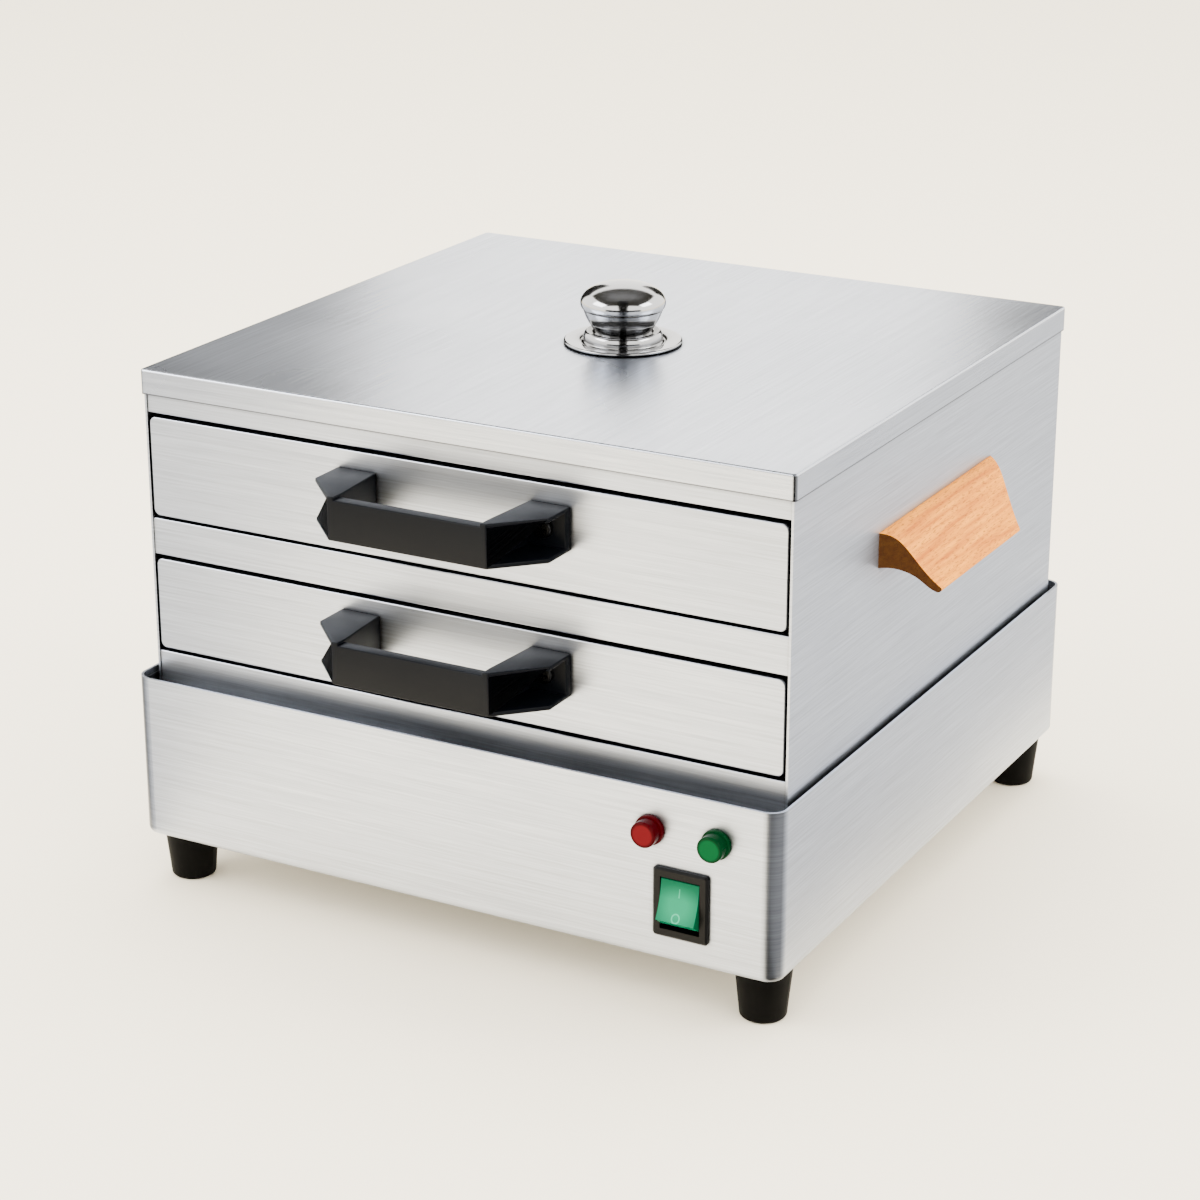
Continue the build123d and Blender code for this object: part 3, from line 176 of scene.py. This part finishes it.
# Upright cards darken the knob, a ceiling the lid's bends, and the floor cards the walls.
black_cloth = "#0A0A0A"
camera_turn = 28.7
card("camera_card", (0.486, -0.875, 0.2), 2.2, 0.4, 90, camera_turn, black_cloth)
card("knob_card", (0.33, -0.60, 0.98), 0.42, 2.0, 57, camera_turn, black_cloth)
card("ceiling_card", (-0.10, 0.20, 1.9), 3.2, 3.2, 0, camera_turn, "#262626")
card("corner_card", (0.51, -0.50, 0.002), 0.7, 0.7, 0, 0, "#1C1C1C")
card("right_card", (0.85, 0.75, 0.003), 1.3, 2.2, 0, 0, "#9C9C9C")
card("left_card", (-0.86, -0.60, 0.003), 0.8, 1.4, 0, -camera_turn, "#8C8C8C")
card("back_left_card", (-1.50, 1.20, 0.7), 1.0, 1.3, 90, 45, "#121212")
card("back_right_card", (-0.27, 2.2, 0.7), 0.8, 1.3, 90, 10, "#1A1A1A")


# Base casing and steam box
# Stainless sheet, cut, folded and spot welded, then brushed with a belt. The eye gets a light
# neutral grey with short level streaks, painted shade in seams and crevices, and upright
# bends darkened by a painted dark reflection.
steel_light = "#D5DBE7"
steel_dark = "#B3B9C5"
sheet_roughness = 0.34
streak_across = 0.8 * MM
streak_along = 55 * MM
cloud_size = 90 * MM
scratch_depth = 0.02 * MM
gloss_drift = 0.03
level_tilt = 0.7
# Painted shade in crevices: how far it reaches and how dark it gets.
crevice_reach = 3 * MM
crevice_shade_tone = 0.06
# Painted dark reflection on upright bends: where it starts, where it is full, and how dark it gets.
bend_start = 0.05
bend_full = 0.4
bend_reflection_tone = 0.25


def brushed_steel(name, rough):
    """Belt-brushed stainless: level streaks upright, front-to-back on top, painted shade in
    crevices, a painted dark reflection on upright bends.
    """
    material, tree, shader = new_material(name)
    place = add(tree, "TexCoord", {})
    upright = add(tree, "Mapping", {
        "Vector": place.outputs["Object"],
        "Scale": (1 / streak_along, 1 / streak_along, 1 / streak_across),
    })
    level = add(tree, "Mapping", {
        "Vector": place.outputs["Object"],
        "Scale": (1 / streak_across, 1 / streak_along, 1 / streak_along),
    })
    facing = add(tree, "SeparateXYZ", {"Vector": place.outputs["Normal"]})
    tilt = add(tree, "Math", {0: facing.outputs["Z"]}, operation="ABSOLUTE")
    is_top = add(tree, "Math", {0: tilt.outputs[0], 1: level_tilt}, operation="GREATER_THAN")
    chosen = add(tree, "Mix", {
        0: is_top.outputs[0], 4: upright.outputs[0], 5: level.outputs[0],
    }, data_type="VECTOR")
    streaks = add(tree, "TexNoise", {
        "Vector": chosen.outputs[1], "Scale": 1.0, "Detail": 4.0, "Roughness": 0.7,
    })
    clouds = add(tree, "TexNoise", {
        "Vector": place.outputs["Object"], "Scale": 1 / cloud_size, "Detail": 1.0,
    })
    grain = add(tree, "MapRange", {
        "Value": streaks.outputs["Fac"], "From Min": 0.3, "From Max": 0.7,
    })
    tone = add(tree, "Mix", {
        0: grain.outputs[0], 6: linear(steel_dark), 7: linear(steel_light),
    }, data_type="RGBA")
    gloss = add(tree, "MapRange", {
        "Value": clouds.outputs["Fac"], "From Min": 0.3, "From Max": 0.7,
        "To Min": rough - gloss_drift, "To Max": rough + gloss_drift,
    })
    relief = add(tree, "Bump", {
        "Height": streaks.outputs["Fac"], "Strength": 0.5, "Distance": scratch_depth,
    })
    # Painted shade: the colour darkens in seams, crevices and under overhanging edges.
    crevice = add(tree, "AmbientOcclusion", {"Distance": crevice_reach}, samples=6)
    shade = add(tree, "MapRange", {
        "Value": crevice.outputs["AO"], "From Min": 0.4, "From Max": 0.9,
        "To Min": crevice_shade_tone,
    })
    shaded = add(tree, "Mix", {
        0: 1.0, 6: tone.outputs[2], 7: shade.outputs[0],
    }, data_type="RGBA", blend_type="MULTIPLY")
    # Painted dark reflection: upright bends, where the normal turns between X and Y, are darkened.
    bend = add(tree, "Math", {
        0: facing.outputs["X"], 1: facing.outputs["Y"],
    }, operation="MULTIPLY")
    on_bend = add(tree, "Math", {0: bend.outputs[0]}, operation="ABSOLUTE")
    bend_shade = add(tree, "MapRange", {
        "Value": on_bend.outputs[0], "From Min": bend_start, "From Max": bend_full,
        "To Min": 1.0, "To Max": bend_reflection_tone,
    })
    folded = add(tree, "Mix", {
        0: 1.0, 6: shaded.outputs[2], 7: bend_shade.outputs[0],
    }, data_type="RGBA", blend_type="MULTIPLY")
    plug(tree, shader, {
        "Base Color": folded.outputs[2], "Metallic": 1.0, "Roughness": gloss.outputs[0],
        "Normal": relief.outputs[0],
    })
    return material


def dress(material, *names):
    """Put one finish on the CAD nodes as they are."""
    for name in names:
        mesh = nodes[name].data
        mesh.materials.clear()
        mesh.materials.append(material)


dress(
    brushed_steel("brushed_stainless_sheet", sheet_roughness),
    "base_shell", "bottom_cover", "side_wall_left", "side_wall_right", "back_wall", "top_rail",
    "middle_rail", "bottom_rail", "upper_drawer_front", "lower_drawer_front",
    "runner_upper_left", "runner_upper_right", "runner_lower_left", "runner_lower_right",
)


# Lid
# One stainless sheet folded into a shallow pan that drops over the box, brushed front to back on
# top. A thin painted shadow line runs along the bottom of its skirt.
lid_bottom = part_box("lid_pan")[0].z
lid_roughness = 0.27
# Painted shadow under the skirt: its height and how dark it is.
shadow_line_height = 0.5 * MM
shadow_line_tone = 0.25


def lid_steel():
    """Brushed steel with a thin painted shadow along its skirt's lower edge."""
    material = brushed_steel("brushed_stainless_lid", lid_roughness)
    tree = material.node_tree
    shader = tree.nodes["Principled BSDF"]
    shaded = shader.inputs["Base Color"].links[0].from_socket
    place = add(tree, "TexCoord", {})
    split = add(tree, "SeparateXYZ", {"Vector": place.outputs["Object"]})
    # Painted shadow: a thin band at the skirt's lower edge is darkened.
    shadow_line = add(tree, "Math", {
        0: split.outputs["Z"], 1: lid_bottom, 2: shadow_line_height,
    }, operation="COMPARE")
    shadow_line_shade = add(tree, "MapRange", {"Value": shadow_line.outputs[0], "To Min": 1.0, "To Max": shadow_line_tone})
    shadow_lined = add(tree, "Mix", {
        0: 1.0, 6: shaded, 7: shadow_line_shade.outputs[0],
    }, data_type="RGBA", blend_type="MULTIPLY")
    plug(tree, shader, {"Base Color": shadow_lined.outputs[2]})
    return material


dress(lid_steel(), "lid_pan")


# Water tank, trays and steam plate
# Thin stainless pressings, hung in the base and on the runners. They keep the bright, faintly
# cloudy finish of the mill; the tank is made dark grey as painted shade in the gap round the box.
cloud_patch = 30 * MM
pit_size = 0.9 * MM
pit_depth = 0.02 * MM


def pressed_steel(name, tone, rough):
    """Bright cold-rolled sheet: soft reflections with a faint cloudiness."""
    material, tree, shader = new_material(name)
    place = add(tree, "TexCoord", {})
    clouds = add(tree, "TexNoise", {
        "Vector": place.outputs["Object"], "Scale": 1 / cloud_patch, "Detail": 3.0,
    })
    gloss = add(tree, "MapRange", {
        "Value": clouds.outputs["Fac"], "To Min": rough - 0.05, "To Max": rough + 0.07,
    })
    pits = add(tree, "TexNoise", {
        "Vector": place.outputs["Object"], "Scale": 1 / pit_size, "Detail": 2.0,
    })
    relief = add(tree, "Bump", {
        "Height": pits.outputs["Fac"], "Strength": 0.1, "Distance": pit_depth,
    })
    plug(tree, shader, {
        "Base Color": linear(tone), "Metallic": 1.0, "Roughness": gloss.outputs[0],
        "Normal": relief.outputs[0],
    })
    return material


dress(
    pressed_steel("pressed_stainless", "#C9CACB", 0.24),
    "steam_plate", "upper_tray", "lower_tray", "element_saddles",
)
# Painted shade: the tank's steel is made dark grey so the narrow gap round the box looks shadowed.
dress(pressed_steel("shade_dark_tank_steel", "#55575A", 0.4), "water_tank")


# Fasteners, terminals and heating element
# Zinc-plated screws, nuts and washers, blackened handle screws, turned brass fittings, and the
# element's steel tube, which goes dull and brown in use. Each is small and softly bright.
dress(
    pressed_steel("zinc_plate", "#B4B7BA", 0.3),
    "foot_screws", "m4_nuts", "m3_screws", "m3_nuts", "terminal_screws", "grip_screws",
    "grip_washers", "knob_washer", "knob_screw", "upper_handle_nuts", "lower_handle_nuts",
    "wire_sleeves",
)
dress(
    pressed_steel("blackened_steel", "#2C2C2D", 0.38), "upper_handle_screws", "lower_handle_screws"
)
dress(
    pressed_steel("turned_brass", "#D2A75A", 0.28),
    "element_bushes", "element_nuts", "switch_terminals", "inlet_pins",
)
dress(pressed_steel("scaled_heater_sheath", "#7A7672", 0.45), "heating_element")


# Handles
# Black glass-filled nylon, each moulded in one with hollow legs and held by two screws. The mould
# leaves rounded outer edges and a fine spark-eroded texture with a low, even gloss.
mould_grain = 0.35 * MM
mould_depth = 0.03 * MM
mould_cloud = 12 * MM
handle_round = 0.6 * MM
handle_edge_least = 1.2 * MM
handle_weld = 0.01 * MM
flat_angle = math.radians(0.5)
edge_angle = math.radians(15)
sharp_angle = math.radians(30)


def moulded(name, colour, rough, shine=0.5, grain=mould_grain):
    """A moulded surface: spark-eroded texture, and gloss that varies a little."""
    material, tree, shader = new_material(name)
    place = add(tree, "TexCoord", {})
    texture = add(tree, "TexNoise", {
        "Vector": place.outputs["Object"], "Scale": 1 / grain, "Detail": 2.0,
    })
    clouds = add(tree, "TexNoise", {
        "Vector": place.outputs["Object"], "Scale": 1 / mould_cloud, "Detail": 2.0,
    })
    gloss = add(tree, "MapRange", {
        "Value": clouds.outputs["Fac"], "To Min": rough - 0.06, "To Max": rough + 0.06,
    })
    relief = add(tree, "Bump", {
        "Height": texture.outputs["Fac"], "Strength": 0.3, "Distance": mould_depth,
    })
    plug(tree, shader, {
        "Base Color": linear(colour), "Roughness": gloss.outputs[0],
        "Specular IOR Level": shine, "Normal": relief.outputs[0],
    })
    return material


def smooth_piece(name, shape):
    """Make an object of a shape, smooth but for its sharp edges."""
    bmesh.ops.recalc_face_normals(shape, faces=shape.faces)
    for face in shape.faces:
        face.smooth = True
    for edge in shape.edges:
        edge.smooth = len(edge.link_faces) < 2 or edge.calc_face_angle() < sharp_angle
    mesh = bpy.data.meshes.new(name)
    shape.to_mesh(mesh)
    shape.free()
    piece = bpy.data.objects.new(name, mesh)
    bpy.context.scene.collection.objects.link(piece)
    return piece


def rounded_handle(name, node):
    """The handle as built, with its outer edges rounded."""
    shape = bmesh.new()
    shape.from_mesh(nodes[node].data)
    bmesh.ops.remove_doubles(shape, verts=shape.verts, dist=handle_weld)
    bmesh.ops.dissolve_limit(
        shape, angle_limit=flat_angle, verts=shape.verts, edges=shape.edges,
    )
    outer = [
        edge for edge in shape.edges
        if len(edge.link_faces) == 2 and edge.is_convex
        and edge.calc_face_angle() > edge_angle and edge.calc_length() > handle_edge_least
    ]
    bmesh.ops.bevel(
        shape, geom=outer, offset=handle_round, segments=3, profile=0.5, affect="EDGES",
        material=-1, clamp_overlap=True,
    )
    return smooth_piece(name, shape)


black_nylon = moulded("black_nylon", "#05070C", 0.4, shine=0.1)
for level in ("upper", "lower"):
    handle = rounded_handle(level + "_rounded_handle", level + "_handle")
    handle.data.materials.append(black_nylon)
    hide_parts(level + "_handle")
    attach(handle, level + "_drawer")


# Small mouldings, rubber, ceramic and wire
# Injection-moulded switch, inlet, lamp and terminal bodies, pressed rubber feet and seals, glazed
# ceramic insulators and PVC wires. Each has its mould's texture, with its own colour and gloss.
rubber_grain = 0.6 * MM

dress(moulded("black_switch_nylon", "#060606", 0.34, shine=0.13), "switch_body", "power_inlet")
dress(moulded("black_rubber", "#030303", 0.55, shine=0.05, grain=rubber_grain), "feet")
dress(moulded("natural_nylon", "#DCD8CC", 0.4), "lamp_bodies", "lamp_nuts", "terminal_block")
dress(moulded("phenolic", "#2A1E18", 0.3), "boil_dry_cutout")
dress(moulded("glazed_ceramic", "#E6E1D4", 0.18), "element_terminals")
dress(moulded("red_silicone", "#93302A", 0.5), "element_seals")
dress(moulded("brown_wire", "#5A3018", 0.4), "live_wires")
dress(moulded("blue_wire", "#2A4F9A", 0.4), "neutral_wires")
dress(moulded("green_wire", "#5F8A1E", 0.4), "earth_wire")


# Side grips
# Oiled beech, shaped on a spindle moulder, sawn off at a slant and screwed on from inside the
# box. The eye gets warm bands and short dark flecks front to back, and end faces that are dark
# partly as end grain and partly as painted shade.
band_width = 2.2 * MM
band_length = 45 * MM
fleck_width = 0.5 * MM
fleck_length = 3.5 * MM
pore_depth = 0.05 * MM


def beech():
    """Oiled beech with its grain front to back."""
    material, tree, shader = new_material("oiled_beech")
    place = add(tree, "TexCoord", {})
    long_grain = add(tree, "Mapping", {
        "Vector": place.outputs["Object"],
        "Scale": (1 / band_width, 1 / band_length, 1 / band_width),
    })
    bands = add(tree, "TexNoise", {
        "Vector": long_grain.outputs[0], "Scale": 1.0, "Detail": 4.0, "Roughness": 0.6,
    })
    fleck_grain = add(tree, "Mapping", {
        "Vector": place.outputs["Object"],
        "Scale": (1 / fleck_width, 1 / fleck_length, 1 / fleck_width),
    })
    flecks = add(tree, "TexNoise", {
        "Vector": fleck_grain.outputs[0], "Scale": 1.0, "Detail": 1.0,
    })
    band_share = add(tree, "MapRange", {
        "Value": bands.outputs["Fac"], "From Min": 0.32, "From Max": 0.68,
    })
    wood = add(tree, "Mix", {
        0: band_share.outputs[0], 6: linear("#BA620A"), 7: linear("#EE981E"),
    }, data_type="RGBA")
    fleck_share = add(tree, "MapRange", {
        "Value": flecks.outputs["Fac"], "From Min": 0.56, "From Max": 0.7, "To Max": 0.6,
    })
    flecked = add(tree, "Mix", {
        0: fleck_share.outputs[0], 6: wood.outputs[2], 7: linear("#7A3A08"),
    }, data_type="RGBA")
    # End faces are darkened: partly the real dark end grain, partly painted shade.
    facing = add(tree, "SeparateXYZ", {"Vector": place.outputs["Normal"]})
    end_turn = add(tree, "Math", {0: facing.outputs["Y"]}, operation="ABSOLUTE")
    end_grain_and_shade_share = add(tree, "MapRange", {
        "Value": end_turn.outputs[0], "From Min": 0.6, "From Max": 0.8,
    })
    tone = add(tree, "Mix", {
        0: end_grain_and_shade_share.outputs[0], 6: flecked.outputs[2], 7: linear("#1E0E03"),
    }, data_type="RGBA")
    relief = add(tree, "Bump", {
        "Height": flecks.outputs["Fac"], "Strength": 0.15, "Distance": pore_depth,
    })
    plug(tree, shader, {
        "Base Color": tone.outputs[2], "Roughness": 0.42, "Normal": relief.outputs[0],
    })
    shader.inputs["Specular IOR Level"].default_value = 0.08
    return material


dress(beech(), "wood_grip_left", "wood_grip_right")


# Knob and its flange
# A turned stainless knob on a spun flange, both polished to a mirror and held by one screw from
# below. The eye gets bright and dark bands of the studio, with faint rings from the wheel, and
# painted shade in the groove and where the pieces meet the lid.
flange_low, flange_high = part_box("knob_flange")
knob_low, knob_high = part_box("lid_knob")
knob_axis = (flange_low + flange_high) / 2
lid_top = flange_low.z
knob_radius = (knob_high.x - knob_low.x) / 2
flange_radius = (flange_high.x - flange_low.x) / 2
flange_foot = 13.6 * MM
rim_roll = 0.9 * MM
rim_under = 0.2 * MM
rim_height = 1.1 * MM
rim_top = 1.9 * MM
dish_edge = (19.2 * MM, 0.9 * MM)
ring_side = (17.9 * MM, 2.0 * MM)
ring_top = (16.2 * MM, 5.7 * MM)
ring_inside = (14.6 * MM, 5.2 * MM)
seat_groove = (13.9 * MM, 5.3 * MM)
bore_wall = (12.6 * MM, 3 * MM)
neck_radius = 13.1 * MM
seam_radius = 18.05 * MM
seam_height = 15.7 * MM
seam_groove = 0.2 * MM
wide_height = 18.7 * MM
cone_swell = 0.5 * MM
curve_steps = 12
turn_steps = 128
weld_gap = 0.001 * MM
polish_ring = 0.7 * MM


def quarter(start, end, rising):
    """Points of a quarter ellipse between two places, upright at its start or at its end."""
    points = []
    for step in range(1, curve_steps + 1):
        angle = math.radians(90) * step / curve_steps
        across, up = (1 - math.cos(angle), math.sin(angle))
        if not rising:
            across, up = (math.sin(angle), 1 - math.cos(angle))
        points.append((
            start[0] + (end[0] - start[0]) * across, start[1] + (end[1] - start[1]) * up,
        ))
    return points


def knob_outline():
    """Radius and height of the knob: neck, cone, seam groove, shoulder and dome."""
    foot = knob_low.z - lid_top
    top = knob_high.z - lid_top
    outline = []
    for step in range(curve_steps + 1):
        share = step / curve_steps
        outline.append((
            neck_radius + (seam_radius - neck_radius) * share
            + cone_swell * math.sin(math.pi * share),
            foot + (seam_height - foot) * share,
        ))
    outline.append((seam_radius - seam_groove, seam_height + seam_groove))
    shoulder = (seam_radius, seam_height + 2 * seam_groove)
    outline.append(shoulder)
    outline += quarter(shoulder, (knob_radius, wide_height), False)
    outline += quarter((knob_radius, wide_height), (0, top), True)
    return outline


def flange_outline():
    """Radius and height round the flange: underside, rolled rim, dish, raised ring, seat."""
    rim = (flange_radius, rim_height)
    seat = (neck_radius, flange_high.z - lid_top)
    outline = [(flange_foot, 0), (flange_radius - rim_roll, rim_under)]
    outline += quarter(outline[-1], rim, False)
    outline += quarter(rim, (flange_radius - rim_roll, rim_top), True)
    outline += quarter(outline[-1], dish_edge, False)[::3]
    outline += quarter(dish_edge, ring_side, False)
    outline += quarter(ring_side, ring_top, True)
    outline += [ring_inside, seat_groove, seat, bore_wall]
    return outline + outline[:1]


def spin_piece(name, outline, axis, base):
    """Turn an outline of radius and height round an upright axis."""
    shape = bmesh.new()
    ring = [shape.verts.new((axis.x + radius, axis.y, base + height)) for radius, height in outline]
    edges = [shape.edges.new(pair) for pair in zip(ring, ring[1:])]
    bmesh.ops.spin(
        shape, geom=ring + edges, cent=(axis.x, axis.y, base), axis=(0, 0, 1),
        angle=math.radians(360), steps=turn_steps, use_merge=True,
    )
    bmesh.ops.remove_doubles(shape, verts=shape.verts, dist=weld_gap)
    return smooth_piece(name, shape)


def polished_steel():
    """Mirror-polished stainless with rings round the knob's axis, and painted shade in its grooves
    and crevices.
    """
    material, tree, shader = new_material("polished_stainless")
    place = add(tree, "TexCoord", {})
    centred = add(tree, "Mapping", {
        "Vector": place.outputs["Object"], "Location": (-knob_axis.x, -knob_axis.y, 0),
    })
    split = add(tree, "SeparateXYZ", {"Vector": centred.outputs[0]})
    flat = add(tree, "CombineXYZ", {"X": split.outputs["X"], "Y": split.outputs["Y"]})
    radius = add(tree, "VectorMath", {0: flat.outputs[0]}, operation="LENGTH")
    ring_place = add(tree, "CombineXYZ", {"X": radius.outputs["Value"], "Z": split.outputs["Z"]})
    rings = add(tree, "TexNoise", {
        "Vector": ring_place.outputs[0], "Scale": 1 / polish_ring, "Detail": 3.0,
    })
    gloss = add(tree, "MapRange", {
        "Value": rings.outputs["Fac"], "To Min": 0.08, "To Max": 0.18,
    })
    # Painted shade: the colour darkens in the seam groove, under the dome and where flange meets
    # lid.
    crevice = add(tree, "AmbientOcclusion", {"Distance": 2 * crevice_reach}, samples=6)
    shade = add(tree, "MapRange", {
        "Value": crevice.outputs["AO"], "From Min": 0.35, "From Max": 0.95, "To Min": 0.05,
    })
    shaded = add(tree, "Mix", {
        0: 1.0, 6: linear("#B2B3B6"), 7: shade.outputs[0],
    }, data_type="RGBA", blend_type="MULTIPLY")
    plug(tree, shader, {
        "Base Color": shaded.outputs[2], "Metallic": 1.0, "Roughness": gloss.outputs[0],
    })
    return material


mirror_steel = polished_steel()
flange = spin_piece("spun_flange", flange_outline(), knob_axis, lid_top)
flange.data.materials.append(mirror_steel)
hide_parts("knob_flange")
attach(flange, "lid")
knob = spin_piece("turned_knob", knob_outline(), knob_axis, lid_top)
knob.data.materials.append(mirror_steel)
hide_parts("lid_knob")
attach(knob, "lid")


# Switch and lamps
# Tinted polycarbonate mouldings that clip in from the front: a green rocker with printed marks, a
# red lens and a green lens. Each is lighter in the middle and deeper towards its edge; on the
# rocker the lighter middle is a painted highlight, and its upper half and sides carry painted
# shade.
def clear_plastic(name, deep, bright, centre, start, end):
    """Tinted translucent plastic, bright round an axis along Y and deeper from start to end."""
    material, tree, shader = new_material(name)
    place = add(tree, "TexCoord", {})
    centred = add(tree, "Mapping", {
        "Vector": place.outputs["Object"], "Location": (-centre.x, 0, -centre.z),
        "Scale": (1, 0, 1),
    })
    radius = add(tree, "VectorMath", {0: centred.outputs[0]}, operation="LENGTH")
    share = add(tree, "MapRange", {
        "Value": radius.outputs["Value"], "From Min": start, "From Max": end,
    })
    # Lighter in the middle, deeper outwards; on the rocker this lighter middle is a painted
    # highlight.
    tone = add(tree, "Mix", {
        0: share.outputs[0], 6: linear(bright), 7: linear(deep),
    }, data_type="RGBA")
    plug(tree, shader, {"Base Color": tone.outputs[2], "Roughness": 0.22})
    shader.inputs["Specular IOR Level"].default_value = 0.04
    return material, tree, shader, tone, centred


def middle(name):
    """The middle of a CAD node."""
    low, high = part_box(name)
    return (low + high) / 2


lens_radius = 5.75 * MM
rocker_half = 10.3 * MM
mark_colour = "#2FA37C"
mark_line = 0.28 * MM
bar_half = 1.9 * MM
ring_mark_radius = 1.7 * MM
mark_height = 5.0 * MM
# Painted shade on the rocker's upper half and sides: its colour, where it starts and how strong it
# gets.
rocker_shade_colour = "#03422A"
upper_shade_start = 2 * MM
upper_shade_end = 9 * MM
upper_shade_most = 0.7
# Painted highlight: how far the rocker's lighter middle reaches.
highlight_reach = 4 * MM
lens_bright = 0.7 * lens_radius
lens_rim = 0.85 * lens_radius


def marked_rocker():
    """The green rocker with a thin pale bar at its top and a ring at its bottom, a painted
    highlight in its middle and painted shade on its upper half and sides.
    """
    material, tree, shader, tone, centred = clear_plastic(
        "green_rocker", "#0B5F44", "#0A7E5A", middle("switch_rocker"), highlight_reach,
        rocker_half,
    )
    spot = add(tree, "SeparateXYZ", {"Vector": centred.outputs[0]})
    across = add(tree, "Math", {
        0: spot.outputs["X"], 1: 0.0, 2: mark_line,
    }, operation="COMPARE")
    along = add(tree, "Math", {
        0: spot.outputs["Z"], 1: mark_height, 2: bar_half,
    }, operation="COMPARE")
    bar = add(tree, "Math", {0: across.outputs[0], 1: along.outputs[0]}, operation="MULTIPLY")
    lower = add(tree, "VectorMath", {
        0: centred.outputs[0], 1: (0, 0, mark_height),
    }, operation="ADD")
    reach = add(tree, "VectorMath", {0: lower.outputs[0]}, operation="LENGTH")
    ring = add(tree, "Math", {
        0: reach.outputs["Value"], 1: ring_mark_radius, 2: mark_line,
    }, operation="COMPARE")
    mark = add(tree, "Math", {0: bar.outputs[0], 1: ring.outputs[0]}, operation="MAXIMUM")
    printed = add(tree, "Mix", {
        0: mark.outputs[0], 6: tone.outputs[2], 7: linear(mark_colour),
    }, data_type="RGBA")
    # Painted shade: the rocker's sides and upper half are darkened towards a deep green.
    facing = add(tree, "SeparateXYZ", {
        "Vector": add(tree, "TexCoord", {}).outputs["Normal"],
    })
    turned = add(tree, "Math", {0: facing.outputs["X"]}, operation="ABSOLUTE")
    side_shade_share = add(tree, "MapRange", {
        "Value": turned.outputs[0], "From Min": 0.4, "From Max": 0.8,
    })
    upper_shade_share = add(tree, "MapRange", {
        "Value": spot.outputs["Z"], "From Min": upper_shade_start, "From Max": upper_shade_end,
        "To Max": upper_shade_most,
    })
    rocker_shade_share = add(tree, "Math", {
        0: side_shade_share.outputs[0], 1: upper_shade_share.outputs[0],
    }, operation="MAXIMUM")
    deeper = add(tree, "Mix", {
        0: rocker_shade_share.outputs[0], 6: printed.outputs[2], 7: linear(rocker_shade_colour),
    }, data_type="RGBA")
    plug(tree, shader, {"Base Color": deeper.outputs[2]})
    return material


dress(
    clear_plastic(
        "red_lens", "#340004", "#560A10", middle("red_lamp_lens"),
        lens_bright, lens_rim,
    )[0],
    "red_lamp_lens",
)
dress(
    clear_plastic(
        "green_lens", "#002810", "#004422", middle("green_lamp_lens"),
        lens_bright, lens_rim,
    )[0],
    "green_lamp_lens",
)
dress(marked_rocker(), "switch_rocker")
